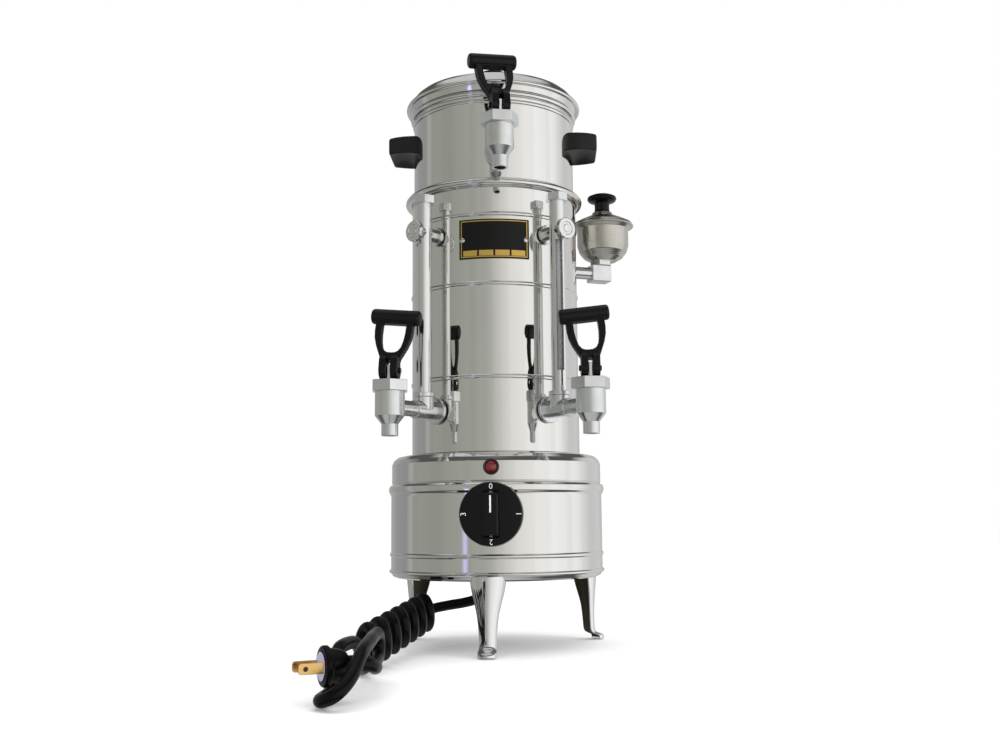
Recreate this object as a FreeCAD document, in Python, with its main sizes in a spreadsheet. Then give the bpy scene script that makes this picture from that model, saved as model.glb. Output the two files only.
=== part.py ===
import FreeCAD
import Part
import math
import os
import Sketcher
from FreeCAD import Placement, Rotation, Vector

# An electric coffee urn: a heated base on three legs, a tall water tank with
# two lower taps and sight gauges, and a lift-off brewing vessel with its own tap.
# Origin on the floor under the tank's axis, -Y to the front, +Z up, millimetres.

SIZES = {
    # Legs
    "leg_height": 57.0, "leg_crown": 95.0, "leg_top_radius": 14.0, "leg_mid_radius": 8.0,
    "leg_mid_height": 28.0, "leg_low_radius": 7.0, "leg_low_height": 3.0, "leg_sheet": 1.4,
    "leg_back": 84.0, "toe_radius": 7.4, "toe_centre": 95.6, "toe_thick": 4.2, "leg_turn": -2.4,
    "leg_rise": 5.0, "leg_plate": 1.5,
    # Base casing
    "base_radius": 90.9, "base_sheet": 1.0, "base_edge": 84.7, "base_lip": 76.0, "base_curve": 5.5,
    "band_radius": 89.2, "band_low": 134.5, "band_high": 151.0, "shoulder_radius": 80.0,
    "shoulder_height": 158.4, "ledge_radius": 68.0, "ledge_height": 159.2, "bead_size": 1.3,
    "base_bead_high": 132.9, "base_bead_mid": 76.3, "floor_sheet": 1.2, "screw_head": 3.4,
    "screw_shank": 1.6, "screw_length": 5.4,
    # Tank
    "tank_radius": 72.0, "tank_sheet": 0.8, "tank_floor": 161.0, "rim_height": 380.6,
    "rim_ring": 74.7, "rim_roll": 3.0, "tank_bead_low": 219.8, "tank_bead_mid": 296.3,
    "tank_bead_high": 354.5,
    # Inner coffee pot
    "pot_radius": 56.0, "pot_floor": 176.0, "pot_top": 366.0, "pot_roll": 1.6,
    # Heater, switch and lamp
    "heater_ring": 44.0, "heater_tube": 4.0, "clamp_radius": 50.0, "clamp_sheet": 2.0,
    "clamp_stud": 3.0, "dial_drop": 25.3, "dial_radius": 25.2, "dial_skirt": 5.0,
    "dial_gap": 1.6, "grip_width": 13.6, "grip_length": 46.0, "grip_height": 12.0,
    "shaft_radius": 3.0, "running_gap": 0.05, "switch_width": 30.0, "switch_depth": 26.0,
    "switch_height": 34.0, "bush_radius": 4.8, "bush_length": 6.0, "lamp_height": 146.0,
    "lamp_radius": 6.4, "lamp_lens": 4.9, "lamp_neck": 4.6,
    # Taps
    "tap_reach": 126.0, "tap_angle": 38.5, "tap_spout_height": 170.2, "front_reach": 105.0,
    "front_angle": 5.2, "front_spout_height": 382.3, "spout_radius": 6.6, "spout_bore": 4.7,
    "spout_length": 9.3, "cone_length": 6.5, "barrel_radius": 11.7, "barrel_length": 19.1,
    "barrel_bore": 8.5, "seat_height": 18.2, "shank_height": 23.0, "shank_radius": 6.3,
    "shank_bore": 4.0, "collar_radius": 7.4, "thread_radius": 5.0, "thread_reach": 9.0,
    "pot_reach": 18.0, "flange_radius": 11.0, "flange_thick": 3.0, "bonnet_corner": 15.6,
    "bonnet_height": 8.8, "bonnet_plug": 5.0, "bonnet_cup": 5.6, "bonnet_cup_depth": 6.0,
    "stem_radius": 1.6, "pin_height": 51.2, "pin_radius": 1.6, "pin_length": 18.0,
    "blade_thick": 2.6, "blade_depth": 8.6, "blade_rise": 4.6, "seat_radius": 6.4,
    "seat_length": 6.0, "seat_gap": 0.3, "button_radius": 4.0, "button_length": 2.4,
    "spring_radius": 4.3, "spring_wire": 0.9, "spring_turns": 5.0,
    # Tap handles
    "foot_gap": 0.3, "foot_lift": 4.3, "neck_width": 14.8, "neck_depth": 11.0,
    "neck_length": 14.0, "slot_width": 3.4, "slot_rise": 8.6, "bow_depth": 6.4,
    "bar_height": 44.5, "bar_radius": 6.2, "bar_length": 40.0, "rock_height": 12.0,
    "side_lean": 10.0, "front_lean": 18.0,
    # Sight gauges
    "gauge_reach": 88.0, "gauge_outer": 6.3, "gauge_inner": 4.9, "gauge_bottom": 207.0,
    "gauge_top": 364.0, "slot_low": 223.5, "slot_high": 331.0, "slot_open": 5.6,
    "glass_outer": 4.0, "glass_wall": 1.0, "glass_bottom": 198.0, "glass_top": 361.0,
    "arm_drop": 42.0, "arm_radius": 5.6, "arm_bore": 2.5, "arm_reach": 97.0,
    "plug_disc": 8.8, "plug_disc_thick": 4.0, "cap_corner": 9.2, "cap_height": 6.6,
    "boss_radius": 8.0, "boss_flange": 8.9, "boss_flange_thick": 3.4,
    # Filler cup
    "cup_angle": 112.5, "cup_reach": 106.0, "cup_pipe": 5.5, "cup_pipe_bore": 3.2,
    "cup_axis": 326.0, "elbow_half": 8.0, "elbow_back": 10.0, "cup_base": 338.0,
    "cup_radius": 23.4, "cup_rim": 27.0, "cup_rim_height": 370.6, "cup_roll": 1.2,
    "cup_sheet": 0.8, "cup_collar": 9.6, "knob_neck": 7.1, "knob_disc": 13.5,
    "knob_neck_length": 8.0, "knob_disc_length": 9.4,
    # Brewing vessel and lid
    "vessel_radius": 70.4, "vessel_sheet": 0.8, "vessel_floor": 386.0, "vessel_skirt": 371.0,
    "vessel_rim": 457.8, "vessel_roll": 2.7, "vessel_bead": 451.2, "vessel_flange": 75.4,
    "side_grip_height": 431.5, "side_grip_tall": 16.0, "side_grip_reach": 91.6,
    "side_grip_base": 34.0, "side_grip_end": 23.0, "side_scoop": 9.0,
    "lid_plug": 67.6, "lid_plug_depth": 8.0, "lid_rim": 75.2, "lid_rim_rise": 8.7,
    "lid_roll": 2.0, "lid_shoulder": 67.4, "lid_shoulder_rise": 11.1, "lid_crown": 9.4,
    "lid_sheet": 0.8,
    # Nameplate
    "plate_width": 58.3, "plate_tall": 33.0, "plate_height": 333.2, "plate_thick": 0.8,
    "plate_turn": 2.5, "rivet_radius": 1.2, "rivet_spread": 26.5, "rivet_height": 332.5,
    # Cord and plug
    "cord_radius": 4.2, "gland_radius": 7.0, "gland_drop": 3.5, "plug_length": 20.0,
    "plug_flange": 12.0, "plug_flange_thick": 4.4, "plug_tail": 5.6, "blade_long": 16.0,
    "blade_wide": 6.35, "blade_sheet": 1.5, "blade_spread": 12.7,
}


class Size:
    # A named length or angle that knows its number and its formula.
    def __init__(self, value, text):
        self.value = float(value)
        self.text = text

    def __add__(self, other):
        other = as_size(other)
        return Size(self.value + other.value, f"({self.text} + {other.text})")

    def __radd__(self, other):
        return as_size(other) + self

    def __sub__(self, other):
        other = as_size(other)
        return Size(self.value - other.value, f"({self.text} - {other.text})")

    def __rsub__(self, other):
        return as_size(other) - self

    def __mul__(self, other):
        other = as_size(other)
        return Size(self.value * other.value, f"({self.text} * {other.text})")

    def __rmul__(self, other):
        return as_size(other) * self

    def __truediv__(self, other):
        other = as_size(other)
        return Size(self.value / other.value, f"({self.text} / {other.text})")

    def __neg__(self):
        return Size(-self.value, f"(0 - {self.text})")


def as_size(number):
    return number if isinstance(number, Size) else Size(number, repr(float(number)))


class Sheet:
    # The spreadsheet of driving sizes, read as attributes such as at.tank_radius.
    def __init__(self, document, values):
        self.cells = document.addObject("Spreadsheet::Sheet", "sizes")
        for row, (alias, value) in enumerate(values.items(), start=1):
            self.cells.set(f"A{row}", alias)
            self.cells.set(f"B{row}", repr(value))
            self.cells.setAlias(f"B{row}", alias)
            setattr(self, alias, Size(value, f"sizes.{alias}"))


def sine(angle):
    return Size(math.sin(math.radians(angle.value)), f"sin({angle.text})")


def cosine(angle):
    return Size(math.cos(math.radians(angle.value)), f"cos({angle.text})")


os.makedirs("parts", exist_ok=True)
doc = FreeCAD.newDocument("coffee_urn")
at = Sheet(doc, SIZES)
doc.recompute()
dial_height = at.band_low - at.dial_drop
arm_height = at.rim_height + 0.4 - at.arm_drop
lid_rim_height = at.vessel_rim + at.lid_rim_rise
lid_shoulder_height = lid_rim_height + at.lid_shoulder_rise
lid_top = lid_shoulder_height + at.lid_crown

TURNS = {"up": (Vector(1, 0, 0), 0), "down": (Vector(1, 0, 0), 180), "front": (Vector(1, 0, 0), 90),
         "back": (Vector(1, 0, 0), -90), "right": (Vector(0, 1, 0), 90)}
finished = []


def bind(item, **sizes):
    for name, size in sizes.items():
        size = as_size(size)
        setattr(item, name, size.value)
        item.setExpression(name, size.text)
    return item


def place(item, x=0, y=0, z=0, turn=None, axis=Vector(0, 0, 1)):
    item.Placement = Placement(Vector(0, 0, 0), Rotation(axis, 1 if turn is not None else 0))
    for letter, size in (("x", x), ("y", y), ("z", z)):
        item.setExpression(f"Placement.Base.{letter}", as_size(size).text)
    if turn is not None:
        item.setExpression("Placement.Rotation.Angle", as_size(turn).text)
    return item


def aim(item, towards, x, y, z):
    axis, angle = TURNS[towards]
    item.Placement = Placement(Vector(0, 0, 0), Rotation(axis, angle))
    for letter, size in (("x", x), ("y", y), ("z", z)):
        item.setExpression(f"Placement.Base.{letter}", as_size(size).text)
    return item


def rod(radius, length, x=0, y=0, z=0, towards="up"):
    return aim(bind(doc.addObject("Part::Cylinder", "rod"), Radius=radius, Height=length), towards, x, y, z)


def taper(low, high, length, x=0, y=0, z=0, towards="up"):
    item = bind(doc.addObject("Part::Cone", "taper"), Radius1=low, Radius2=high, Height=length)
    return aim(item, towards, x, y, z)


def block(wide, deep, tall, x=0, y=0, z=0):
    # A box centred on x and y, standing on z.
    wide, deep = as_size(wide), as_size(deep)
    item = bind(doc.addObject("Part::Box", "block"), Length=wide, Width=deep, Height=tall)
    return aim(item, "up", x - wide / 2, y - deep / 2, z)


def hexagon(corner, tall, x=0, y=0, z=0, turn=0):
    item = doc.addObject("Part::Prism", "hexagon")
    item.Polygon = 6
    bind(item, Circumradius=corner, Height=tall)
    return place(item, x, y, z, turn=as_size(turn))


def hoop(ring, tube, x=0, y=0, z=0):
    return aim(bind(doc.addObject("Part::Torus", "hoop"), Radius1=ring, Radius2=tube), "up", x, y, z)


def fuse(*items):
    joined = doc.addObject("Part::MultiFuse", "joined")
    joined.Shapes = list(items)
    return joined


def cut(base, *tools):
    trimmed = doc.addObject("Part::Cut", "trimmed")
    trimmed.Base = base
    trimmed.Tool = tools[0] if len(tools) == 1 else fuse(*tools)
    return trimmed


def common(*items):
    shared = doc.addObject("Part::MultiCommon", "shared")
    shared.Shapes = list(items)
    return shared


def group(*items):
    together = doc.addObject("Part::Compound", "together")
    together.Links = list(items)
    return together


def node(label, item):
    item.Label = label
    finished.append(item)
    return item


def pinned_sketch(body, role, outline):
    # A closed outline whose corners are each held by two named sizes.
    sketch = body.newObject("Sketcher::SketchObject", "outline")
    plane = [item for item in body.Origin.OriginFeatures if item.Role == role][0]
    sketch.AttachmentSupport = [(plane, "")]
    sketch.MapMode = "FlatFace"
    corners = [(as_size(u), as_size(v)) for u, v in outline]
    ends = [Vector(u.value, v.value, 0) for u, v in corners]
    count = len(corners)
    for index in range(count):
        sketch.addGeometry(Part.LineSegment(ends[index], ends[(index + 1) % count]), False)
    for index in range(count):
        sketch.addConstraint(Sketcher.Constraint("Coincident", index, 2, (index + 1) % count, 1))
    for index, (u, v) in enumerate(corners):
        for kind, size, axis in (("DistanceX", u, -2), ("DistanceY", v, -1)):
            if size.value == 0:
                sketch.addConstraint(Sketcher.Constraint("PointOnObject", index, 1, axis))
                continue
            number = sketch.addConstraint(Sketcher.Constraint(kind, -1, 1, index, 1, size.value))
            sketch.setExpression(f"Constraints[{number}]", size.text)
    return sketch


def ring_sketch(body, u, v, radius):
    sketch = body.newObject("Sketcher::SketchObject", "ring")
    plane = [item for item in body.Origin.OriginFeatures if item.Role == "XZ_Plane"][0]
    sketch.AttachmentSupport = [(plane, "")]
    sketch.MapMode = "FlatFace"
    u, v, radius = as_size(u), as_size(v), as_size(radius)
    circle = Part.Circle(Vector(u.value, v.value, 0), Vector(0, 0, 1), radius.value)
    sketch.addGeometry(circle, False)
    for constraint, size in ((("DistanceX", -1, 1, 0, 3), u), (("DistanceY", -1, 1, 0, 3), v),
                             (("Radius", 0), radius)):
        number = sketch.addConstraint(Sketcher.Constraint(*constraint, size.value))
        sketch.setExpression(f"Constraints[{number}]", size.text)
    return sketch


def turned(outline, rings=()):
    # A piece spun from its half section, with round beads and rolled rims.
    body = doc.addObject("PartDesign::Body", "turned")
    sketches = [pinned_sketch(body, "XZ_Plane", outline)]
    sketches += [ring_sketch(body, *ring) for ring in rings]
    for sketch in sketches:
        spin = body.newObject("PartDesign::Revolution", "spin")
        spin.Profile = sketch
        spin.ReferenceAxis = (sketch, ["V_Axis"])
        spin.Angle = 360
        body.Tip = spin
    return body


def plate(outline, thick, role="XY_Plane", midplane=False, hole=None):
    # A flat piece padded from its outline.
    body = doc.addObject("PartDesign::Body", "plate")
    pad = body.newObject("PartDesign::Pad", "pad")
    pad.Profile = pinned_sketch(body, role, outline)
    bind(pad, Length=thick)
    pad.Midplane = midplane
    body.Tip = pad
    if hole is not None:
        pocket = body.newObject("PartDesign::Pocket", "pocket")
        pocket.Profile = pinned_sketch(body, role, hole)
        pocket.Type = "ThroughAll"
        pocket.Midplane = midplane
        body.Tip = pocket
    return body


def mirrored(outline):
    # Completes an outline given for its right half, from bottom to top.
    return outline + [(-as_size(u), v) for u, v in reversed(outline)]


# Base casing
lip_top = at.leg_height + at.base_sheet
base_outline = [
    (at.base_lip, at.leg_height), (at.base_edge, at.leg_height),
    (at.base_edge + 3.9, at.leg_height + 1.6), (at.base_radius, at.leg_height + at.base_curve),
    (at.base_radius, at.band_low - 1.7), (at.band_radius, at.band_low),
    (at.band_radius, at.band_high), (at.band_radius - 1.5, at.band_high + 3.6),
    (at.band_radius - 4.8, at.shoulder_height - 1.0), (at.shoulder_radius, at.shoulder_height),
    (at.ledge_radius, at.ledge_height), (at.ledge_radius, at.ledge_height - at.base_sheet),
    (at.shoulder_radius - 0.1, at.shoulder_height - at.base_sheet),
    (at.band_radius - 5.3, at.shoulder_height - 2.0), (at.band_radius - 2.4, at.band_high + 3.0),
    (at.band_radius - at.base_sheet, at.band_high - 0.2),
    (at.band_radius - at.base_sheet, at.band_low + 0.2),
    (at.base_radius - at.base_sheet, at.band_low - 1.5),
    (at.base_radius - at.base_sheet, at.leg_height + at.base_curve + 0.3),
    (at.base_edge + 3.3, lip_top + 1.4), (at.base_edge - 0.2, lip_top), (at.base_lip, lip_top),
]
base_beads = [
    (at.base_radius - 0.3, at.base_bead_high, at.bead_size),
    (at.base_radius - 0.6, at.base_bead_mid, at.bead_size),
    (at.base_radius - 1.0, at.leg_height + at.base_curve, at.bead_size),
]
wall_depth = at.base_radius + at.bead_size
screw_circle = (at.base_lip + at.base_edge) / 2
base_holes = [
    rod(at.bush_radius + at.running_gap, wall_depth, z=dial_height, towards="front"),
    rod(at.lamp_neck + at.running_gap, wall_depth, z=at.lamp_height, towards="front"),
]


def on_legs(make):
    # Repeats a piece at each of the three legs.
    pieces = []
    for number in range(3):
        piece = make()
        place(piece, turn=at.leg_turn + 120.0 * number)
        pieces.append(piece)
    return pieces


screw_hole = at.screw_shank + at.running_gap
base_holes += on_legs(lambda: group(rod(screw_hole, at.screw_length * 3, y=-screw_circle,
                                        z=at.leg_height - at.screw_length)))
base_shell = node("base_shell", cut(turned(base_outline, base_beads), *base_holes))

floor_disc = at.base_edge - 0.7
gland_x, gland_y = -4.8, -5.2
floor_holes = on_legs(lambda: group(rod(screw_hole, at.screw_length * 3, y=-screw_circle,
                                        z=at.leg_height - at.screw_length)))
floor_holes.append(rod(at.gland_radius - 1.5 + at.running_gap, at.floor_sheet * 3, x=gland_x, y=gland_y,
                       z=lip_top - at.floor_sheet))
node("base_floor", cut(rod(floor_disc, at.floor_sheet, z=lip_top), *floor_holes))

# Legs
def ring_at(radius, height, shrink):
    ring = bind(doc.addObject("Part::Circle", "section"), Radius=radius - shrink)
    return aim(ring, "up", 0, radius - at.leg_crown, height)


def leg_solid(shrink):
    sections = [ring_at(at.leg_low_radius, at.leg_low_height - shrink * 9, shrink),
                ring_at(at.leg_mid_radius, at.leg_mid_height, shrink),
                ring_at(at.leg_top_radius, at.leg_height + at.leg_rise + shrink * 0.01, shrink)]
    loft = doc.addObject("Part::Loft", "loft")
    loft.Sections = sections
    loft.Solid = True
    loft.Ruled = True
    return loft


def make_leg():
    tube = cut(leg_solid(as_size(0)), leg_solid(at.leg_sheet))
    front_half = block(40, 40, at.leg_height + at.leg_rise, y=-at.leg_back - 20)
    channel = common(tube, front_half)
    tab = common(rod(at.leg_top_radius - 0.4, at.leg_plate, y=at.leg_top_radius - at.leg_crown,
                     z=at.leg_height - at.leg_plate),
                 block(60, 26, at.leg_plate, y=-at.leg_back - 5, z=at.leg_height - at.leg_plate))
    toe = rod(at.toe_radius, at.toe_thick, y=-at.toe_centre)
    sole = block(at.toe_radius * 2, at.toe_centre - at.leg_back, at.leg_low_height,
                 y=-(at.toe_centre + at.leg_back) / 2)
    solid = fuse(channel, toe, sole, tab)
    clear = cut(solid, turned([(0, at.leg_height), (at.base_edge + 0.3, at.leg_height),
                               (at.base_edge + 4.2, at.leg_height + 1.4),
                               (at.base_radius + 0.3 + at.bead_size / 3, at.leg_height + at.base_curve - 1.4),
                               (at.base_radius + 0.5 + at.bead_size / 3, at.leg_height + 30),
                               (0, at.leg_height + 30)]),
                rod(screw_hole, at.screw_length * 3, y=-screw_circle, z=at.leg_height - 8))
    return clear


for label, leg in zip(("front_leg", "right_leg", "left_leg"), on_legs(make_leg)):
    node(label, leg)

# Screws that hold the legs and the base floor
def make_screw():
    under = at.leg_height - at.leg_plate
    return group(fuse(rod(at.screw_shank, at.screw_length, y=-screw_circle, z=under),
                      rod(at.screw_head, 1.6, y=-screw_circle, z=under - 1.6)))


node("base_screws", group(*on_legs(make_screw)))

# Tank
tank_inner = at.tank_radius - at.tank_sheet
tank_outline = [
    (0, at.tank_floor), (tank_inner, at.tank_floor), (tank_inner, at.ledge_height),
    (at.tank_radius, at.ledge_height), (at.tank_radius, at.rim_height + 0.4),
    (tank_inner, at.rim_height + 0.4), (tank_inner, at.tank_floor + 1.0), (0, at.tank_floor + 1.0),
]
tank_rings = [(at.rim_ring, at.rim_height, at.rim_roll)]
tank_rings += [(at.tank_radius - 0.5, height, at.bead_size)
               for height in (at.tank_bead_low, at.tank_bead_mid, at.tank_bead_high)]
thread_hole = at.thread_radius + at.running_gap
tap_axis = at.tap_spout_height + at.shank_height


def radial_hole(radius, height, angle, reach):
    return place(group(rod(radius, reach, z=height, towards="front")), turn=angle)


tank_holes = []
for side in (-1, 1):
    tank_holes.append(radial_hole(thread_hole, tap_axis, side * at.tap_angle, at.tank_radius + 5))
    tank_holes.append(radial_hole(at.arm_radius + at.running_gap, arm_height, side * at.tap_angle,
                                  at.tank_radius + 5))
    rivet_turn = at.plate_turn + side * at.rivet_spread / at.tank_radius * (180 / math.pi)
    tank_holes.append(radial_hole(at.rivet_radius + at.running_gap, at.rivet_height, rivet_turn,
                                  at.tank_radius + 5))
tank_holes.append(radial_hole(at.cup_pipe + at.running_gap, at.cup_axis, at.cup_angle, at.tank_radius + 5))
node("tank_shell", cut(turned(tank_outline, tank_rings), *tank_holes))

# Inner coffee pot, which stands on the tank floor on its own skirt
pot_inner = at.pot_radius - at.tank_sheet
pot_outline = [
    (0, at.pot_floor), (pot_inner, at.pot_floor), (pot_inner, at.tank_floor + 1.0),
    (at.pot_radius, at.tank_floor + 1.0), (at.pot_radius, at.pot_top), (pot_inner, at.pot_top),
    (pot_inner, at.pot_floor + at.tank_sheet), (0, at.pot_floor + at.tank_sheet),
]
pot_shell = turned(pot_outline, [(at.pot_radius + at.pot_roll - 0.6, at.pot_top, at.pot_roll)])
node("inner_pot", cut(pot_shell,
                      radial_hole(thread_hole, tap_axis, -at.tap_angle, at.pot_radius + 5),
                      radial_hole(at.arm_radius + at.running_gap, arm_height, -at.tap_angle,
                                  at.pot_radius + 5)))

# Heating element and the plate that presses it to the tank floor
heater_top = at.tank_floor
heater_height = heater_top - at.heater_tube
terminals = [rod(2.0, 26, x=side * 9.0, y=-at.heater_ring, z=heater_height - 26) for side in (-1, 1)]
element = fuse(hoop(at.heater_ring, at.heater_tube, z=heater_height), *terminals)
node("heating_element", element)
clamp_top = heater_height - at.heater_tube
terminal_slots = [rod(3.0, at.clamp_sheet * 3, x=side * 9.0, y=-at.heater_ring, z=clamp_top - at.clamp_sheet * 2)
                  for side in (-1, 1)]
clamp_plate = cut(rod(at.clamp_radius, at.clamp_sheet, z=clamp_top - at.clamp_sheet), *terminal_slots)
clamp = fuse(clamp_plate, rod(at.clamp_stud, heater_top - clamp_top + 8, z=clamp_top - 8),
             hexagon(6.4, 5, z=clamp_top - at.clamp_sheet - 5))
node("heater_clamp", clamp)

# Heat switch, its shaft and the control knob
switch_front = -(at.base_radius - 2.6)
wall_front = at.base_radius
switch_case = block(at.switch_width, at.switch_depth, at.switch_height,
                    y=switch_front + at.switch_depth / 2, z=dial_height - at.switch_height / 2)
bush = rod(at.bush_radius, wall_front + 0.9 + switch_front + 1, y=switch_front + 1, z=dial_height,
           towards="front")
shaft_end = switch_front + 14.0
shaft_bore = rod(at.shaft_radius + at.running_gap, 40, y=shaft_end, z=dial_height, towards="front")
tags = [block(6.3, 8, 0.8, x=side * 8.0, y=switch_front + at.switch_depth + 4, z=dial_height + 8)
        for side in (-1, 1)]
node("switch_body", cut(fuse(switch_case, bush, *tags), shaft_bore))
knob_back = -(wall_front + at.dial_gap)
knob_face = knob_back - at.dial_skirt
shaft_tip = knob_face - at.grip_height / 2
node("switch_shaft", rod(at.shaft_radius, shaft_end - 0.3 - shaft_tip, y=shaft_end - 0.3, z=dial_height,
                         towards="front"))
skirt = taper(at.dial_radius, at.dial_radius - 1.2, at.dial_skirt, y=knob_back, z=dial_height,
              towards="front")
grip = common(block(at.grip_width, at.grip_height + 1, at.grip_length,
                    y=knob_face - at.grip_height / 2 + 0.5, z=dial_height - at.grip_length / 2),
              taper(at.grip_length / 2, at.grip_length / 2 - 3, at.grip_height + 1, y=knob_face + 1,
                    z=dial_height, towards="front"))
knob_bore = rod(at.shaft_radius + at.running_gap / 2, knob_back - shaft_tip + 0.3, y=knob_back, z=dial_height,
                towards="front")
node("control_knob", cut(fuse(skirt, grip), knob_bore))

# Pilot lamp in the band above the switch
band_front = -at.band_radius
bezel = cut(fuse(rod(at.lamp_radius, 2.2, y=band_front - 0.1, z=at.lamp_height, towards="front"),
                 rod(at.lamp_neck, 14, y=band_front + 12, z=at.lamp_height, towards="front")),
            rod(at.lamp_neck - 1.2, 20, y=band_front + 8, z=at.lamp_height, towards="front"),
            rod(at.lamp_lens + 0.05, 2, y=band_front - 1.3, z=at.lamp_height, towards="front"))
node("pilot_bezel", bezel)
lens = fuse(rod(at.lamp_lens, 1.2, y=band_front - 1.3, z=at.lamp_height, towards="front"),
            taper(at.lamp_lens - 0.2, at.lamp_lens - 2.6, 1.6, y=band_front - 2.5, z=at.lamp_height,
                  towards="front"))
node("pilot_lens", lens)

# Nameplate and its rivets
def plate_sector(inner, outer, half_width, low, tall):
    sleeve = cut(rod(outer, tall, z=low), rod(inner, tall, z=low))
    return common(sleeve, block(half_width * 2, outer, tall, y=-outer / 2 - outer / 4, z=low))


seat_radius = at.tank_radius + 0.02
plate_low = at.plate_height - at.plate_tall / 2
nameplate = cut(plate_sector(seat_radius, seat_radius + at.plate_thick, at.plate_width / 2, plate_low,
                             at.plate_tall),
                *[place(group(rod(at.rivet_radius + at.running_gap, at.tank_radius + 5, z=at.rivet_height,
                                  towards="front")),
                        turn=side * at.rivet_spread / at.tank_radius * (180 / math.pi)) for side in (-1, 1)])
node("nameplate", place(nameplate, turn=at.plate_turn))
rivets = []
for side in (-1, 1):
    rivet_turn = at.plate_turn + side * at.rivet_spread / at.tank_radius * (180 / math.pi)
    outer_face = seat_radius + at.plate_thick
    head = taper(2.2, 1.2, 0.9, y=-outer_face - 0.03, z=at.rivet_height, towards="front")
    pin = rod(at.rivet_radius, outer_face + 0.03 - tank_inner + 1.2, y=-tank_inner + 1.2, z=at.rivet_height,
              towards="front")
    rivets.append(place(fuse(head, pin), turn=rivet_turn))
node("nameplate_rivets", group(*rivets))


# Taps
def polar(reach, angle):
    return reach * sine(angle), -reach * cosine(angle)


def tap_body(wall_radius, reach, thread, gauge):
    # Local frame: tap axis at the origin, tank towards +Y, spout mouth at z = 0.
    barrel_low = at.spout_length + at.cone_length
    to_wall = reach - wall_radius
    outside = [rod(at.spout_radius, at.spout_length),
               taper(at.spout_radius, at.barrel_radius, at.cone_length, z=at.spout_length),
               rod(at.barrel_radius, at.barrel_length, z=barrel_low),
               rod(at.shank_radius, to_wall, z=at.shank_height, towards="back"),
               rod(at.flange_radius, at.flange_thick, y=to_wall - at.flange_thick - 1.2, z=at.shank_height,
                   towards="back"),
               rod(at.thread_radius, thread + 2, y=to_wall - 2, z=at.shank_height, towards="back")]
    barrel_top = barrel_low + at.barrel_length
    inside = [rod(at.spout_bore, at.seat_height + 1, z=-0.5),
              rod(at.barrel_bore, barrel_top - at.seat_height + 1, z=at.seat_height),
              rod(at.shank_bore, to_wall + thread + 1, z=at.shank_height, towards="back")]
    if gauge:
        boss_y = reach - at.gauge_reach
        boss_top = at.gauge_bottom - at.tap_spout_height
        outside += [rod(at.collar_radius, to_wall - boss_y + 12, y=boss_y - 12, z=at.shank_height,
                        towards="back"),
                    rod(at.boss_radius, boss_top - at.shank_height, y=boss_y, z=at.shank_height),
                    rod(at.boss_flange, at.boss_flange_thick, y=boss_y, z=boss_top - at.boss_flange_thick)]
        inside.append(rod(at.glass_outer + at.running_gap, boss_top, y=boss_y,
                          z=at.glass_bottom - at.tap_spout_height))
        inside.append(rod(at.shank_bore / 2, boss_top - at.shank_height, y=boss_y, z=at.shank_height))
    return cut(fuse(*outside), *inside)


def tap_bonnet(turn):
    low = at.spout_length + at.cone_length + at.barrel_length
    outside = [hexagon(at.bonnet_corner, at.bonnet_height, z=low, turn=turn),
               rod(at.barrel_bore - at.running_gap, at.bonnet_plug, z=low - at.bonnet_plug)]
    rounded = common(outside[0], taper(at.bonnet_corner + 3.2, at.bonnet_corner - 0.9, at.bonnet_height, z=low))
    return cut(fuse(rounded, outside[1]),
               rod(at.stem_radius + at.running_gap, 40, z=low - 10),
               rod(at.bonnet_cup, at.bonnet_plug + at.bonnet_cup_depth - 5, z=low - at.bonnet_plug - 0.01))


def bonnet_roof():
    # Underside of the bonnet's spring pocket.
    low = at.spout_length + at.cone_length + at.barrel_length
    return low + at.bonnet_cup_depth - 5 - 0.01


def bonnet_top():
    return at.spout_length + at.cone_length + at.barrel_length + at.bonnet_height


def seat_low():
    return at.seat_height + at.seat_gap


def tap_stem(turn):
    # Rod with a button in the seat cup and a flat blade that the handle straddles.
    button_low = seat_low() + 1.6
    blade_low = bonnet_top() + 0.4
    blade_top = at.pin_height + at.blade_rise
    blade = place(group(block(at.blade_thick, at.blade_depth, blade_top - blade_low, z=blade_low)), turn=turn)
    solid = fuse(rod(at.button_radius, at.button_length, z=button_low),
                 rod(at.stem_radius, blade_low + 0.5 - button_low, z=button_low),
                 blade)
    hole = place(group(rod(at.pin_radius + at.running_gap, 30, x=-15, z=at.pin_height, towards="right")), turn=turn)
    return cut(solid, hole)


def tap_seat():
    # Rubber cup that closes the spout bore and grips the stem's button.
    cup = rod(at.seat_radius, at.seat_length, z=seat_low())
    return cut(cup, rod(at.button_radius + at.running_gap, at.button_length + at.running_gap * 2,
                        z=seat_low() + 1.6 - at.running_gap),
               rod(at.stem_radius + at.running_gap, at.seat_length, z=seat_low() + 2))


def biarc(start, start_way, end, end_way):
    # Two tangent arcs between two points with given directions.
    span = end - start
    both = start_way + end_way
    down = 2 * (1 - start_way.dot(end_way))
    reach = span.dot(both)
    if abs(down) < 1e-9:
        step = span.dot(span) / (4 * span.dot(end_way))
    else:
        step = (-reach + math.sqrt(reach * reach + down * span.dot(span))) / down
    first = start + start_way * step
    second = end - end_way * step
    middle = (first + second) * 0.5
    edges = []
    for corner, near, far, way in ((first, start, middle, start_way), (second, middle, end, None)):
        chord = far - near
        tangent = way if way is not None else (second - middle).normalize()
        side = chord - tangent * chord.dot(tangent)
        if side.Length < 1e-6:
            edges.append(Part.LineSegment(near, far).toShape())
            continue
        radius = chord.dot(chord) / (2 * side.Length)
        centre = near + side.normalize() * radius
        half = (near + far) * 0.5 - centre
        edges.append(Part.Arc(near, centre + half.normalize() * radius, far).toShape())
    return edges


def sweep(edges, radius, start, way):
    wire = Part.Wire(edges)
    profile = Part.Wire([Part.Circle(start, way, radius).toShape()])
    return wire.makePipeShell([profile], True, False)


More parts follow.
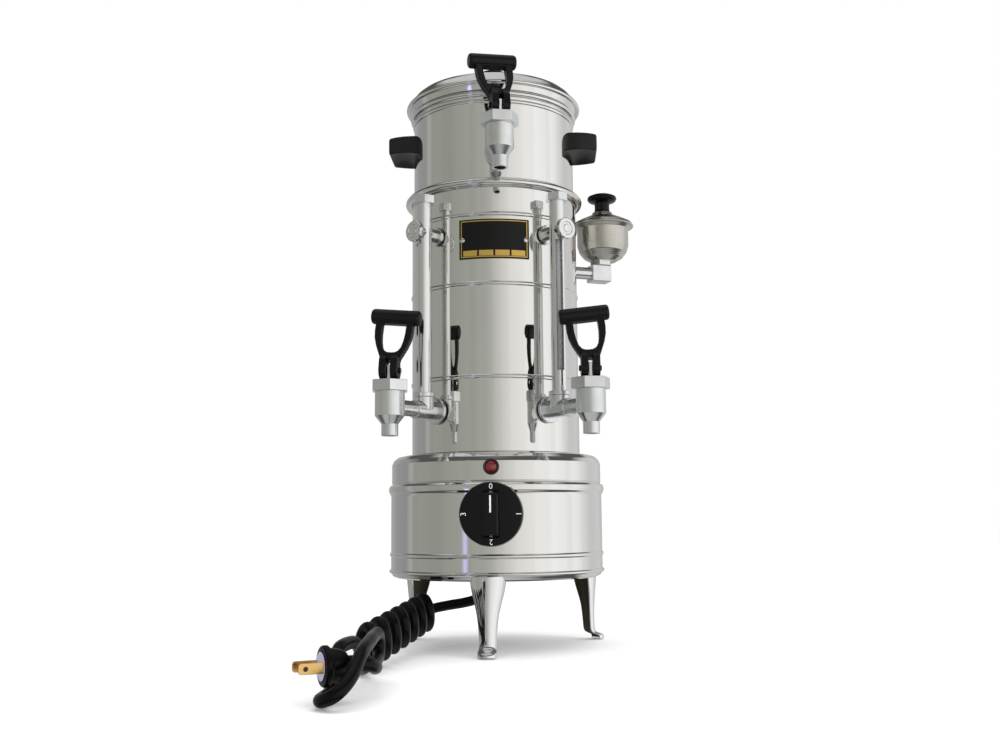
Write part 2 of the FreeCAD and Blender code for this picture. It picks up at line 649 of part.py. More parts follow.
def wound(point, turns, steps):
    # A tube through a winding; point(t) gives the centre line for t in turns.
    count = round(turns * steps)
    small = 1e-4
    stops = [turns * number / count for number in range(count + 1)]
    places = [point(stop) for stop in stops]
    ways = [(point(stop + small) - point(stop - small)).normalize() for stop in stops]
    edges = []
    for number in range(count):
        edges += biarc(places[number], ways[number], places[number + 1], ways[number + 1])
    return edges, places, ways


def feature(shape):
    item = doc.addObject("Part::Feature", "formed")
    item.Shape = shape
    return item


def tap_spring():
    # Closed coil between the seat cup and the bonnet's pocket, in the tap's frame.
    low = (seat_low() + at.seat_length).value + at.spring_wire.value / 2 + 0.05
    high = bonnet_roof().value - at.spring_wire.value / 2 - 0.05
    pitch = (high - low) / at.spring_turns.value
    coil = at.spring_radius.value

    def point(turn):
        angle = 2 * math.pi * turn
        return Vector(coil * math.cos(angle), coil * math.sin(angle), low + pitch * turn)

    edges, places, ways = wound(point, at.spring_turns.value, 4)
    return feature(sweep(edges, at.spring_wire.value / 2, places[0], ways[0]))


def tap_handle(lean, rock):
    # Local frame: cross pin along X at the origin, front towards -Y.
    bow = mirrored([(7.4, -4.0), (9.8, 1.0), (12.8, 7.5), (14.7, 14.0), (15.4, 20.0), (15.4, 27.5)])
    gap = mirrored([(3.4, 2.6), (6.7, 5.6), (8.7, 11.0), (9.6, 18.0), (9.8, 26.3)])
    bow_frame = plate(bow, at.bow_depth, role="XZ_Plane", midplane=True, hole=gap)
    bar = rod(at.bar_radius, at.bar_length, x=-at.bar_length / 2, z=at.bar_height - at.rock_height,
              towards="right")
    top = place(fuse(bow_frame, bar), z=at.rock_height, turn=rock, axis=Vector(0, 1, 0))
    neck = block(at.neck_width, at.neck_depth, at.neck_length)
    upper = place(fuse(top, neck), turn=-lean, axis=Vector(1, 0, 0))
    foot_radius = at.pin_height - bonnet_top() - at.foot_gap
    heel = rod(foot_radius, at.neck_width, x=-at.neck_width / 2, towards="right")
    cam = rod(foot_radius, at.neck_width, x=-at.neck_width / 2, y=-at.foot_lift, towards="right")
    slot = block(at.slot_width, 60, at.slot_rise * 2, z=-at.slot_rise)
    pin_hole = rod(at.pin_radius + at.running_gap / 2, 40, x=-20, towards="right")
    return cut(fuse(upper, heel, cam), slot, pin_hole)


def make_tap(name, reach, angle, height, wall_radius, thread, gauge, lean, rock, yaw, hex_turn):
    x, y = polar(reach, angle)
    node(f"{name}_tap_body", place(tap_body(wall_radius, reach, thread, gauge), x, y, height, turn=angle))
    bonnet = place(tap_bonnet(hex_turn), x, y, height)
    node(f"{name}_tap_stem", place(tap_stem(yaw), x, y, height))
    node(f"{name}_tap_seat", place(tap_seat(), x, y, height))
    spring = tap_spring()
    spring.Placement = Placement(Vector(x.value, y.value, height.value), Rotation())
    node(f"{name}_tap_spring", spring)
    node(f"{name}_tap_handle", place(tap_handle(lean, rock), x, y, height + at.pin_height, turn=yaw))
    pin = rod(at.pin_radius, at.pin_length, x=-at.pin_length / 2, towards="right")
    node(f"{name}_tap_pin", place(group(pin), x, y, height + at.pin_height, turn=yaw))
    return bonnet


left_bonnet = make_tap("left", at.tap_reach, -at.tap_angle, at.tap_spout_height, at.tank_radius,
                       at.pot_reach, True, at.side_lean, 5.5, as_size(-7.5), as_size(38))
right_bonnet = make_tap("right", at.tap_reach, at.tap_angle, at.tap_spout_height, at.tank_radius,
                        at.thread_reach, True, at.side_lean, -6.5, as_size(2.5), as_size(10.5))
front_bonnet = make_tap("front", at.front_reach, at.front_angle, at.front_spout_height, at.vessel_radius,
                        at.thread_reach, False, at.front_lean, -3.5, as_size(18), as_size(11.5))
node("lower_tap_bonnets", group(left_bonnet, right_bonnet))
node("front_tap_bonnet", front_bonnet)

# Sight gauges: slotted guard tubes, glasses, top arms and caps
guards, glasses, arms, caps = [], [], [], []
for side, slot_turn in ((-1, -70.0), (1, 12.0)):
    angle = side * at.tap_angle
    x, y = polar(at.gauge_reach, angle)
    tube = cut(rod(at.gauge_outer, at.gauge_top - at.gauge_bottom, z=at.gauge_bottom),
               rod(at.gauge_inner, at.gauge_top - at.gauge_bottom + 2, z=at.gauge_bottom - 1),
               place(group(block(at.slot_open, at.gauge_outer + 2, at.slot_high - at.slot_low,
                                 y=-(at.gauge_outer + 2) / 2, z=at.slot_low)), turn=slot_turn),
               place(group(rod(at.arm_radius + at.running_gap, 60, y=30, z=arm_height, towards="front")),
                     turn=angle))
    guards.append(place(tube, x, y, 0))
    glasses.append(place(group(cut(rod(at.glass_outer, at.glass_top - at.glass_bottom, z=at.glass_bottom),
                                   rod(at.glass_outer - at.glass_wall, at.gauge_top, z=at.glass_bottom - 1))),
                         x, y, 0))
    inner_reach = at.tank_radius - (at.pot_reach if side < 0 else at.thread_reach)
    arm = cut(fuse(rod(at.arm_radius, at.arm_reach - inner_reach, y=-inner_reach, z=arm_height, towards="front"),
                   rod(at.plug_disc, at.plug_disc_thick, y=-at.arm_reach, z=arm_height, towards="front"),
                   rod(at.boss_radius, 3, y=-at.tank_radius - 1.2, z=arm_height, towards="front")),
              rod(at.arm_bore, at.gauge_reach - inner_reach + 1, y=-inner_reach + 1, z=arm_height,
                  towards="front"),
              rod(at.glass_outer + at.running_gap, 40, y=-at.gauge_reach, z=arm_height - 20))
    arms.append(place(arm, turn=angle))
    cap = fuse(hexagon(at.cap_corner, at.cap_height, z=at.gauge_top, turn=10),
               rod(at.gauge_inner - at.running_gap, at.gauge_top - at.glass_top - 0.3,
                   z=at.glass_top + 0.3))
    caps.append(place(cap, x, y, 0))
node("gauge_guards", group(*guards))
node("gauge_glasses", group(*glasses))
node("gauge_arms", group(*arms))
node("gauge_caps", group(*caps))

# Nuts inside the tank and gaskets outside it
nuts, gaskets = [], []
for side in (-1, 1):
    angle = side * at.tap_angle
    nut = cut(rod(9.5, 4.0, y=-(tank_inner - 1.6), z=tap_axis, towards="back"),
              rod(thread_hole, 30, y=-at.tank_radius, z=tap_axis, towards="back"))
    nuts.append(place(nut, turn=angle))
    gasket = cut(rod(at.flange_radius - 1, at.tank_radius + 1.2 - 60, y=-60, z=tap_axis, towards="front"),
                 rod(at.tank_radius + 0.02, 60, z=tap_axis - 30),
                 rod(at.collar_radius + 0.1, 60, y=-40, z=tap_axis, towards="front"))
    gaskets.append(place(gasket, turn=angle))
cup_nut = cut(rod(9.5, 4.0, y=-(tank_inner - 1.6), z=at.cup_axis, towards="back"),
              rod(at.cup_pipe + at.running_gap, 30, y=-at.tank_radius, z=at.cup_axis, towards="back"))
nuts.append(place(cup_nut, turn=at.cup_angle))
node("tank_nuts", group(*nuts))
node("tank_gaskets", group(*gaskets))

# Filler cup on its pipe and elbow
elbow_bottom = at.cup_axis - at.elbow_half
pipe_end = at.cup_reach - at.elbow_back
pipe = cut(rod(at.cup_pipe, pipe_end - (at.tank_radius - at.thread_reach), y=-(at.tank_radius - at.thread_reach),
               z=at.cup_axis, towards="front"),
           rod(at.cup_pipe_bore, 60, y=-50, z=at.cup_axis, towards="front"))
node("cup_pipe", place(pipe, turn=at.cup_angle))
elbow = cut(fuse(block(at.elbow_half * 2, at.elbow_back + 8.6, at.elbow_half * 2,
                       y=-at.cup_reach + (at.elbow_back - 8.6) / 2, z=elbow_bottom),
                 rod(at.cup_collar, at.cup_base - at.cup_axis, y=-at.cup_reach, z=at.cup_axis)),
            rod(at.cup_pipe_bore, at.elbow_back + 3, y=-at.cup_reach + at.elbow_back, z=at.cup_axis,
                towards="front"),
            rod(at.cup_pipe_bore, at.cup_base - at.cup_axis + 3, y=-at.cup_reach, z=at.cup_axis))
node("cup_elbow", place(elbow, turn=at.cup_angle))
cup_x, cup_y = polar(at.cup_reach, at.cup_angle)
cup_outer = at.cup_radius
cup_outline = [
    (at.cup_pipe_bore, at.cup_base), (12, at.cup_base), (cup_outer - 5.9, at.cup_base + 3.2),
    (cup_outer - 1.8, at.cup_base + 8.4), (cup_outer, at.cup_base + 14.5),
    (cup_outer, at.cup_rim_height - 3.4), (at.cup_rim, at.cup_rim_height - 0.8),
    (at.cup_rim, at.cup_rim_height + 0.2), (cup_outer - at.cup_sheet, at.cup_rim_height - 2.2),
    (cup_outer - at.cup_sheet, at.cup_base + 14.7), (cup_outer - 2.5, at.cup_base + 9.0),
    (cup_outer - 6.3, at.cup_base + 4.2), (11.8, at.cup_base + 1.0), (at.cup_pipe_bore, at.cup_base + 1.0),
]
node("cup_bowl", place(turned(cup_outline, [(at.cup_rim, at.cup_rim_height, at.cup_roll)]), cup_x, cup_y, 0))
lid_rest = at.cup_rim_height + at.cup_roll
cup_lid_outline = [
    (0, lid_rest + 11.8), (9.2, lid_rest + 11.8), (9.6, lid_rest + 9.8), (13.2, lid_rest + 8.0),
    (20.0, lid_rest + 5.0), (at.cup_rim - 0.2, lid_rest + 1.4), (at.cup_rim + 0.6, lid_rest),
    (cup_outer - 1.6, lid_rest), (cup_outer - 1.6, lid_rest - 3.0), (cup_outer - 2.4, lid_rest - 3.0),
    (cup_outer - 2.4, lid_rest + 1.2), (19.6, lid_rest + 4.2), (12.8, lid_rest + 7.1),
    (8.8, lid_rest + 9.0), (0, lid_rest + 9.6),
]
node("cup_lid", place(turned(cup_lid_outline), cup_x, cup_y, 0))


def knob_outline(low):
    neck_top = low + at.knob_neck_length
    top = neck_top + at.knob_disc_length
    return [(0, low), (at.knob_neck, low), (at.knob_neck - 0.4, neck_top), (at.knob_disc - 2.0, neck_top),
            (at.knob_disc, neck_top + 3.0), (at.knob_disc - 0.6, neck_top + 6.0),
            (at.knob_disc - 4.0, top - 0.8), (0, top)]


node("cup_knob", place(turned(knob_outline(lid_rest + 11.8)), cup_x, cup_y, 0))

# Brewing vessel, which stands on the tank's rolled rim
vessel_inner = at.vessel_radius - at.vessel_sheet
flange_low = at.rim_height + at.rim_roll
vessel_outline = [
    (0, at.vessel_floor), (vessel_inner, at.vessel_floor), (vessel_inner, at.vessel_skirt),
    (at.vessel_radius, at.vessel_skirt), (at.vessel_radius, flange_low), (at.vessel_flange, flange_low),
    (at.vessel_flange, flange_low + at.vessel_sheet), (at.vessel_radius, flange_low + at.vessel_sheet),
    (at.vessel_radius, at.vessel_rim), (vessel_inner, at.vessel_rim),
    (vessel_inner, at.vessel_floor + at.vessel_sheet), (0, at.vessel_floor + at.vessel_sheet),
]
vessel_rings = [(at.vessel_radius + 0.3, at.vessel_rim, at.vessel_roll),
                (at.vessel_radius - 0.3, at.vessel_bead, at.bead_size)]
front_axis = at.front_spout_height + at.shank_height
grip_screws = []
for side in (-1, 1):
    grip_screws.append(rod(at.screw_shank + at.running_gap, 20, x=side * (at.vessel_radius - 10) - 10,
                           z=at.side_grip_height, towards="right"))
node("vessel_shell", cut(turned(vessel_outline, vessel_rings),
                         radial_hole(thread_hole, front_axis, at.front_angle, at.vessel_radius + 5),
                         *grip_screws))
front_nut = cut(rod(9.5, 4.0, y=-(vessel_inner - 1.6), z=front_axis, towards="back"),
                rod(thread_hole, 30, y=-at.vessel_radius, z=front_axis, towards="back"))
node("front_tap_nut", place(front_nut, turn=at.front_angle))

# Side handles of the vessel
for label, side in (("left_vessel_grip", -1), ("right_vessel_grip", 1)):
    outline = [(side * (at.vessel_radius * 0.7), -at.side_grip_base), (side * at.side_grip_reach * 0.93, -at.side_grip_end),
               (side * at.side_grip_reach, -at.side_grip_end * 0.7), (side * at.side_grip_reach, at.side_grip_end * 0.7),
               (side * at.side_grip_reach * 0.93, at.side_grip_end), (side * (at.vessel_radius * 0.7), at.side_grip_base)]
    slab = place(plate(outline, at.side_grip_tall), z=at.side_grip_height - at.side_grip_tall / 2)
    scoop = place(group(rod(at.side_scoop, 80, y=-40, towards="back")), side * (at.side_grip_reach - 4.5), 0,
                  at.side_grip_height - at.side_grip_tall / 2 - 5.0)
    thread = rod(at.screw_shank + at.running_gap, 14, x=side * (at.vessel_radius + 5) - 7, z=at.side_grip_height,
                 towards="right")
    node(label, cut(slab, rod(at.vessel_radius + 0.02, 60, z=at.side_grip_height - 30), scoop, thread))

# Lid and its knob
seat = at.vessel_rim + at.vessel_roll
lid_outline = [
    (0, lid_top), (30, lid_top - 1.4), (50, lid_top - 4.2), (62, lid_top - 7.4),
    (at.lid_shoulder, lid_shoulder_height), (at.lid_shoulder + 3.6, lid_shoulder_height - 3.2),
    (at.lid_rim - 1.8, lid_rim_height + 4.0), (at.lid_rim - 0.6, lid_rim_height + 0.4),
    (at.lid_rim - 0.6, lid_rim_height - 0.4), (at.vessel_radius + 1.6, seat), (at.lid_plug, seat),
    (at.lid_plug, seat - at.lid_plug_depth), (at.lid_plug - at.lid_sheet, seat - at.lid_plug_depth),
    (at.lid_plug - at.lid_sheet, seat + at.lid_sheet), (at.vessel_radius + 1.2, seat + at.lid_sheet),
    (at.lid_rim - 1.6, lid_rim_height - 0.4), (at.lid_rim - 1.6, lid_rim_height + 0.4),
    (at.lid_rim - 2.8, lid_rim_height + 3.8), (at.lid_shoulder + 3.0, lid_shoulder_height - 3.8),
    (at.lid_shoulder - 0.4, lid_shoulder_height - 0.8), (61.8, lid_top - 8.2),
    (49.8, lid_top - 5.0), (30, lid_top - 2.2), (0, lid_top - 0.8),
]
node("lid", turned(lid_outline, [(at.lid_rim, lid_rim_height, at.lid_roll)]))
node("lid_knob", turned(knob_outline(lid_top)))

# Cord: gland, lead, wound hank, tail and plug
cord = at.cord_radius.value
gland_low = (lip_top - at.gland_drop).value
gland = cut(fuse(rod(at.gland_radius, at.gland_drop, x=gland_x, y=gland_y, z=lip_top - at.gland_drop),
                 rod(at.gland_radius - 1.5, at.floor_sheet + 2, x=gland_x, y=gland_y, z=lip_top - 0.5),
                 rod(at.gland_radius, 2, x=gland_x, y=gland_y, z=lip_top + at.floor_sheet)),
            rod(at.cord_radius, 30, x=gland_x, y=gland_y, z=lip_top - 20))
node("cord_gland", gland)

HANK_START = Vector(-58.4, -14.6, 29.5)
HANK_END = Vector(-84.9, -187.9, 17.4)
HANK_TURNS = 7 + 50 / 360
HANK_TALL = 12.7
HANK_DEEP = 12.5
across = Vector(0.4415, -0.8973, 0).normalize()
upright = Vector(0, 0, 1)


def hank_line(turn):
    angle = 2 * math.pi * turn + math.radians(250)
    centre = HANK_START + (HANK_END - HANK_START) * (turn / HANK_TURNS)
    return centre + across * (HANK_DEEP * math.cos(angle)) + upright * (HANK_TALL * math.sin(angle))


def tube_along(points, radius, label):
    # Straight runs joined by tangent arcs.
    edges = []
    start = points[0]
    for index in range(1, len(points) - 1):
        corner = points[index]
        before = (corner - points[index - 1]).normalize()
        after = (points[index + 1] - corner).normalize()
        shorter = min((corner - points[index - 1]).Length, (points[index + 1] - corner).Length)
        half = before.getAngle(after) / 2
        bend = 0.45 * shorter / math.tan(half)
        trim = bend * math.tan(half)
        first = corner - before * trim
        last = corner + after * trim
        inward = (after - before).normalize()
        centre = corner + inward * (bend / math.cos(half))
        edges.append(Part.LineSegment(start, first).toShape())
        edges.append(Part.Arc(first, centre - inward * bend, last).toShape())
        print(f"{label} bend {index}: radius {bend:.1f} mm, {bend / (2 * radius):.2f} diameters,"
              f" turn {math.degrees(2 * half):.0f}")
        start = last
    edges.append(Part.LineSegment(start, points[-1]).toShape())
    length = sum(edge.Length for edge in edges)
    way = (points[1] - points[0]).normalize()
    solid = sweep(edges, radius, points[0], way)
    expected = math.pi * radius ** 2 * length
    print(f"{label}: length {length:.1f} mm, volume over section times length {solid.Volume / expected:.4f}")
    return solid, length


hank_edges, hank_places, hank_ways = wound(hank_line, HANK_TURNS, 4)
end_reach = 2 * cord
hank_first = hank_places[0] - hank_ways[0] * end_reach
hank_last = hank_places[-1] + hank_ways[-1] * end_reach
hank_edges = ([Part.LineSegment(hank_first, hank_places[0]).toShape()] + hank_edges
              + [Part.LineSegment(hank_places[-1], hank_last).toShape()])
hank_length = sum(edge.Length for edge in hank_edges)
samples, travel = [], 0.0
for edge in hank_edges:
    steps = max(2, int(edge.Length / 1.5))
    for number in range(steps):
        portion = edge.FirstParameter + (edge.LastParameter - edge.FirstParameter) * number / steps
        samples.append((travel + edge.Length * number / steps, edge.valueAt(portion)))
    travel += edge.Length
closest = min(a.distanceToPoint(b) for i, (s, a) in enumerate(samples) for t, b in samples[i + 1:]
              if t - s > 8 * cord)
print(f"cord_hank: length {hank_length:.1f} mm, least gap to itself {closest - 2 * cord:.2f} mm")
for edge in hank_edges:
    if hasattr(edge.Curve, "Radius") and edge.Curve.Radius < 2 * cord:
        print(f"cord_hank: arc of radius {edge.Curve.Radius:.2f} mm is tighter than the cord")
node("cord_hank", feature(sweep(hank_edges, cord, hank_first, hank_ways[0])))

LEAD_ROUTE = [
    Vector(gland_x, gland_y, gland_low), Vector(gland_x, gland_y, 38.8), Vector(-57.6, 18.6, 29.6),
    Vector(-67.4, 11.5, 24.7),
]
lead_points = LEAD_ROUTE + [hank_first]
lead_solid, lead_length = tube_along(lead_points, cord, "cord_lead")
node("cord_lead", feature(lead_solid))

PLUG_FACE = Vector(-88.8, -306.0, 21.6)
PLUG_WAY = Vector(-0.8804, -0.4688, 0).normalize()
plug_tail_end = PLUG_FACE - PLUG_WAY * at.plug_length.value
TAIL_ROUTE = [
    Vector(-82.4, -216.5, 23.4), Vector(-82.0, -233.0, 28.0), Vector(-83.0, -262.0, 29.6),
    Vector(-84.4, -280.5, 28.5), Vector(-85.2, -287.5, 15.0), Vector(-85.2, -295.5, 4.8),
    Vector(-86.8, -312.0, 4.6), Vector(-86.0, -326.0, 5.0), Vector(-76.5, -333.0, 8.5),
    Vector(-69.5, -325.0, 15.5), Vector(-67.4, -313.5, 22.5), Vector(-65.8, -301.0, 30.0),
    Vector(-66.0, -270.0, 32.5), Vector(-68.0, -240.0, 32.8), Vector(-69.2, -213.0, 32.0),
    Vector(-69.2, -213.0, 15.5), Vector(-68.2, -238.0, 15.0), Vector(-65.0, -262.0, 15.0),
    Vector(-60.5, -280.0, 18.0),
]
tail_points = [hank_last, hank_last + hank_ways[-1] * 10.0] + TAIL_ROUTE
tail_points += [plug_tail_end - PLUG_WAY * 8.0, plug_tail_end]
tail_solid, tail_length = tube_along(tail_points, cord, "cord_tail")
node("cord_tail", feature(tail_solid))
print(f"cord: whole length {lead_length + hank_length + tail_length:.0f} mm")

# Plug: moulded body with its flange, and two flat blades
plug_turn = math.degrees(math.atan2(PLUG_WAY.x, -PLUG_WAY.y))


def plug_local(item):
    return place(item, PLUG_FACE.x, PLUG_FACE.y, PLUG_FACE.z, turn=plug_turn)


grip_low = at.plug_flange_thick
plug_solid = fuse(rod(at.plug_flange, at.plug_flange_thick, towards="back"),
                  taper(at.plug_flange - 1.6, at.plug_tail + 1.8, at.plug_length - grip_low - 6, y=grip_low,
                        towards="back"),
                  rod(at.plug_tail, 6, y=at.plug_length - 6, towards="back"))
slot_wide = at.blade_wide + 0.1
blade_slots = [block(at.blade_sheet + 0.1, at.plug_length - 14, slot_wide, x=side * at.blade_spread / 2,
                     y=(at.plug_length - 14) / 2 - 1, z=-slot_wide / 2) for side in (-1, 1)]
node("plug_body", plug_local(cut(plug_solid, *blade_slots)))
plug_blades = []
for side in (-1, 1):
    tongue = block(at.blade_sheet, at.blade_long + at.plug_length - 16, at.blade_wide,
                   x=side * at.blade_spread / 2, y=(at.plug_length - 16 - at.blade_long) / 2,
                   z=-at.blade_wide / 2)
    eye = rod(1.6, 10, x=side * at.blade_spread / 2 - 5, y=-at.blade_long + 4.5, towards="right")
    plug_blades.append(cut(tongue, eye))
node("plug_blades", plug_local(group(*plug_blades)))

doc.recompute()
faults = [f"{item.Label}: {state}" for item in doc.Objects for state in item.State
          if state in ("Invalid", "Error")]
for item in finished:
    if item.Shape.isNull():
        faults.append(f"{item.Label}: no shape")
    elif not item.Shape.isValid():
        faults.append(f"{item.Label}: shape not valid")
if faults:
    raise RuntimeError("; ".join(faults))
for item in finished:
    item.Shape.exportStep(f"parts/{item.Label}.step")
print(f"{len(finished)} sub-parts written")
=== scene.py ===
import math

import bmesh
import bpy
from mathutils import Matrix, Vector


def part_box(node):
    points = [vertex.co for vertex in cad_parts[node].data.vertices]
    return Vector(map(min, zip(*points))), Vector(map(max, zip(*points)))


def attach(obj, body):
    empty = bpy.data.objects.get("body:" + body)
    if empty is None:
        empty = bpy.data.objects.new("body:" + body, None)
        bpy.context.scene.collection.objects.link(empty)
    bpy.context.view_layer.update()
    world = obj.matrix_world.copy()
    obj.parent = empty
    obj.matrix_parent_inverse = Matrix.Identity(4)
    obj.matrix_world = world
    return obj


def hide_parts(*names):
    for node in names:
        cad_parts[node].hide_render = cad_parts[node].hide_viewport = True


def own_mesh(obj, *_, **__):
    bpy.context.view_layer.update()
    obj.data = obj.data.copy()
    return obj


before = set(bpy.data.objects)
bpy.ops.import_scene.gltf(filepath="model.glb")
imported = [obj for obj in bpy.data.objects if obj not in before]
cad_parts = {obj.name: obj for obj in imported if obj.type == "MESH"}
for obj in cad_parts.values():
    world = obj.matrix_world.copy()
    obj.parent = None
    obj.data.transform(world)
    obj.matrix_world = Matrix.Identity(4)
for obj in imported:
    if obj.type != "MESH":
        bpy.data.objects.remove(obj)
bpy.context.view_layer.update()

# The view. The urn is looked at from dial height, tipped up to its lid, and it
# stands on a plain pale table top in a bright room: a grey wall on its left and
# a row of windows on its right, which the polished steel shows as upright bands.
HEADING, PITCH, ROLL = math.radians(-2.255), math.radians(7.336), math.radians(-0.515)
STANDPOINT = Vector((0.0420, -0.9629, 0.1056))
forward = Vector((math.sin(HEADING) * math.cos(PITCH), math.cos(HEADING) * math.cos(PITCH),
                  math.sin(PITCH)))
level = Vector((math.cos(HEADING), -math.sin(HEADING), 0.0))
upward = level.cross(forward)
right = level * math.cos(ROLL) + upward * math.sin(ROLL)
upright = upward * math.cos(ROLL) - level * math.sin(ROLL)
camera = bpy.data.objects.new("camera", bpy.data.cameras.new("camera"))
camera.data.sensor_width = 36.0
camera.data.lens = 40.165
camera.data.clip_start = 0.01
turn = Matrix((right, upright, -forward)).transposed()
camera.matrix_world = Matrix.Translation(STANDPOINT) @ turn.to_4x4()
bpy.context.scene.collection.objects.link(camera)
bpy.context.scene.camera = camera
bpy.context.scene.view_settings.view_transform = "Standard"


class Value:
    """A socket of a material that takes part in ordinary arithmetic."""

    def __init__(self, finish, socket):
        self.finish = finish
        self.socket = socket

    def maths(self, operation, *others):
        inputs = dict(enumerate((self,) + others))
        return self.finish.node("ShaderNodeMath", {"operation": operation}, inputs)

    def __add__(self, other):
        return self.maths("ADD", other)

    def __sub__(self, other):
        return self.maths("SUBTRACT", other)

    def __mul__(self, other):
        return self.maths("MULTIPLY", other)

    def __truediv__(self, other):
        return self.maths("DIVIDE", other)

    def __neg__(self):
        return self * -1.0

    def size(self):
        return self.maths("ABSOLUTE")

    def above(self, other):
        return self.maths("GREATER_THAN", other)

    def below(self, other):
        return self.maths("LESS_THAN", other)

    def most(self, other):
        return self.maths("MAXIMUM", other)

    def between(self, low, high):
        return self.above(low) * self.below(high)

    def spread(self, low, high, new_low=0.0, new_high=1.0):
        return self.finish.node("ShaderNodeMapRange", {},
                                {0: self, 1: low, 2: high, 3: new_low, 4: new_high})


class Finish:
    """A node tree, of a material or of the room, that is built up by plain calls."""

    def __init__(self, tree):
        self.tree = tree
        self.tree.nodes.clear()

    def node(self, kind, settings, inputs, output=0):
        made = self.tree.nodes.new(kind)
        for name, setting in settings.items():
            if name == "stops":
                ramp = made.color_ramp
                while len(ramp.elements) < len(setting):
                    ramp.elements.new(0.5)
                for stop, (place, colour) in zip(ramp.elements, setting):
                    stop.position = place
                    stop.color = tuple(colour) + (1.0,)
            else:
                setattr(made, name, setting)
        for name, value in inputs.items():
            if isinstance(value, Value):
                self.tree.links.new(value.socket, made.inputs[name])
            else:
                made.inputs[name].default_value = value
        return Value(self, made.outputs[output])

    def place(self, turn=(0, 0, 0), scale=(1, 1, 1)):
        here = self.node("ShaderNodeTexCoord", {}, {}, "Object")
        return self.node("ShaderNodeMapping", {}, {"Vector": here, "Rotation": turn, "Scale": scale})

    def noise(self, scale, detail=4.0, stretch=(1, 1, 1)):
        return self.node("ShaderNodeTexNoise", {}, {"Vector": self.place(scale=stretch), "Scale": scale,
                                                    "Detail": detail}, "Fac")

    def axes(self, vector):
        return [self.node("ShaderNodeSeparateXYZ", {}, {0: vector}, axis) for axis in range(3)]

    def blend(self, factor, first, second):
        return self.node("ShaderNodeMix", {"data_type": "RGBA"},
                         {"Factor": factor, 6: first, 7: second}, 2)

    def relief(self, height, depth, strength=1.0):
        return self.node("ShaderNodeBump", {},
                         {"Height": height, "Distance": depth, "Strength": strength})


def material(name):
    made = bpy.data.materials.new(name)
    made.use_nodes = True
    return made, Finish(made.node_tree)


def coated(made, finish, **sockets):
    """Closes a material with the one surface shader that carries its colour and gloss."""
    names = {name.replace("_", " ").title().replace("Ior", "IOR"): value
             for name, value in sockets.items()}
    surface = finish.node("ShaderNodeBsdfPrincipled", {}, names)
    end = finish.tree.nodes.new("ShaderNodeOutputMaterial")
    finish.tree.links.new(surface.socket, end.inputs["Surface"])
    return made


def grey(amount, tint=(1.0, 1.0, 1.0)):
    return tuple(amount * part for part in tint)


# The room that the steel mirrors: how bright it is in each direction round the
# urn, from the back by the left wall to the front and on by the windows.
room = bpy.data.worlds.new("room")
room.use_nodes = True
bpy.context.scene.world = room
daylight = Finish(room.node_tree)
looking = daylight.node("ShaderNodeTexCoord", {}, {}, "Generated")
east, north, high = daylight.axes(looking)
around = daylight.node("ShaderNodeMath", {"operation": "ARCTAN2"}, {0: east, 1: -north}) / math.tau + 0.5
WALL = (1.0, 1.02, 0.93)
WARM = (1.0, 0.985, 0.95)


def bearing(degrees):
    return degrees / 360.0 + 0.5


bands = [
    (bearing(-180), grey(0.50, WARM)), (bearing(-135), grey(0.36)), (bearing(-112), grey(0.33)),
    (bearing(-103), grey(0.50, WARM)), (bearing(-98), grey(0.36, WALL)), (bearing(-70), grey(0.35, WALL)),
    (bearing(-45), grey(0.38, WALL)), (bearing(-14), grey(0.41, WALL)), (bearing(0), grey(0.56, WARM)),
    (bearing(14), grey(0.76, WARM)), (bearing(35), grey(0.96, WARM)), (bearing(62), grey(1.06)),
    (bearing(98), grey(1.04)), (bearing(108), grey(0.80)), (bearing(140), grey(0.68)),
    (bearing(180), grey(0.50, WARM)),
]
STREAKS = {"Scale": 17.0, "Detail": 4.0}
DARK_STRIP, CEILING, FLOOR = grey(0.10) + (1.0,), grey(0.66) + (1.0,), grey(0.55) + (1.0,)
LAMP_BEARING, LAMP_SPREAD, LAMP_VIOLET = bearing(-31), 90.0, (1.1, 1.05, 1.9, 1.0)
round_about = daylight.node("ShaderNodeValToRGB", {"stops": bands}, {0: around})
streaks = daylight.node("ShaderNodeTexNoise", {"noise_dimensions": "1D"}, {"W": around, **STREAKS})
streaks = streaks.spread(0.3, 0.7, 0.93, 1.06)
round_about = daylight.node("ShaderNodeVectorMath", {"operation": "SCALE"},
                            {0: round_about, "Scale": streaks})
room_light = daylight.blend(high.spread(0.42, 0.52), round_about, DARK_STRIP)
room_light = daylight.blend(high.spread(0.74, 0.84), room_light, CEILING)
room_light = daylight.blend((-high).spread(0.50, 0.58), room_light, DARK_STRIP)
room_light = daylight.blend((-high).spread(0.76, 0.84), room_light, FLOOR)
by_lamp = ((around - LAMP_BEARING).size() * LAMP_SPREAD).spread(0.2, 1.0, 1.0, 0.0)
glow = (by_lamp * high.between(0.56, 0.66) + by_lamp * high.between(-0.62, -0.46)
        + by_lamp * high.between(-0.10, 0.0) * 0.45)
room_light = daylight.blend(glow, room_light, LAMP_VIOLET)
in_a_mirror = daylight.node("ShaderNodeLightPath", {}, {}, "Is Glossy Ray")
mirrored = daylight.node("ShaderNodeBackground", {}, {0: room_light, 1: 1.0})
plain = daylight.node("ShaderNodeBackground", {}, {0: (1.0, 1.0, 1.0, 1.0), 1: 1.0})
sky = daylight.node("ShaderNodeMixShader", {}, {0: in_a_mirror, 1: plain, 2: mirrored})
world_end = room.node_tree.nodes.new("ShaderNodeOutputWorld")
room.node_tree.links.new(sky.socket, world_end.inputs["Surface"])


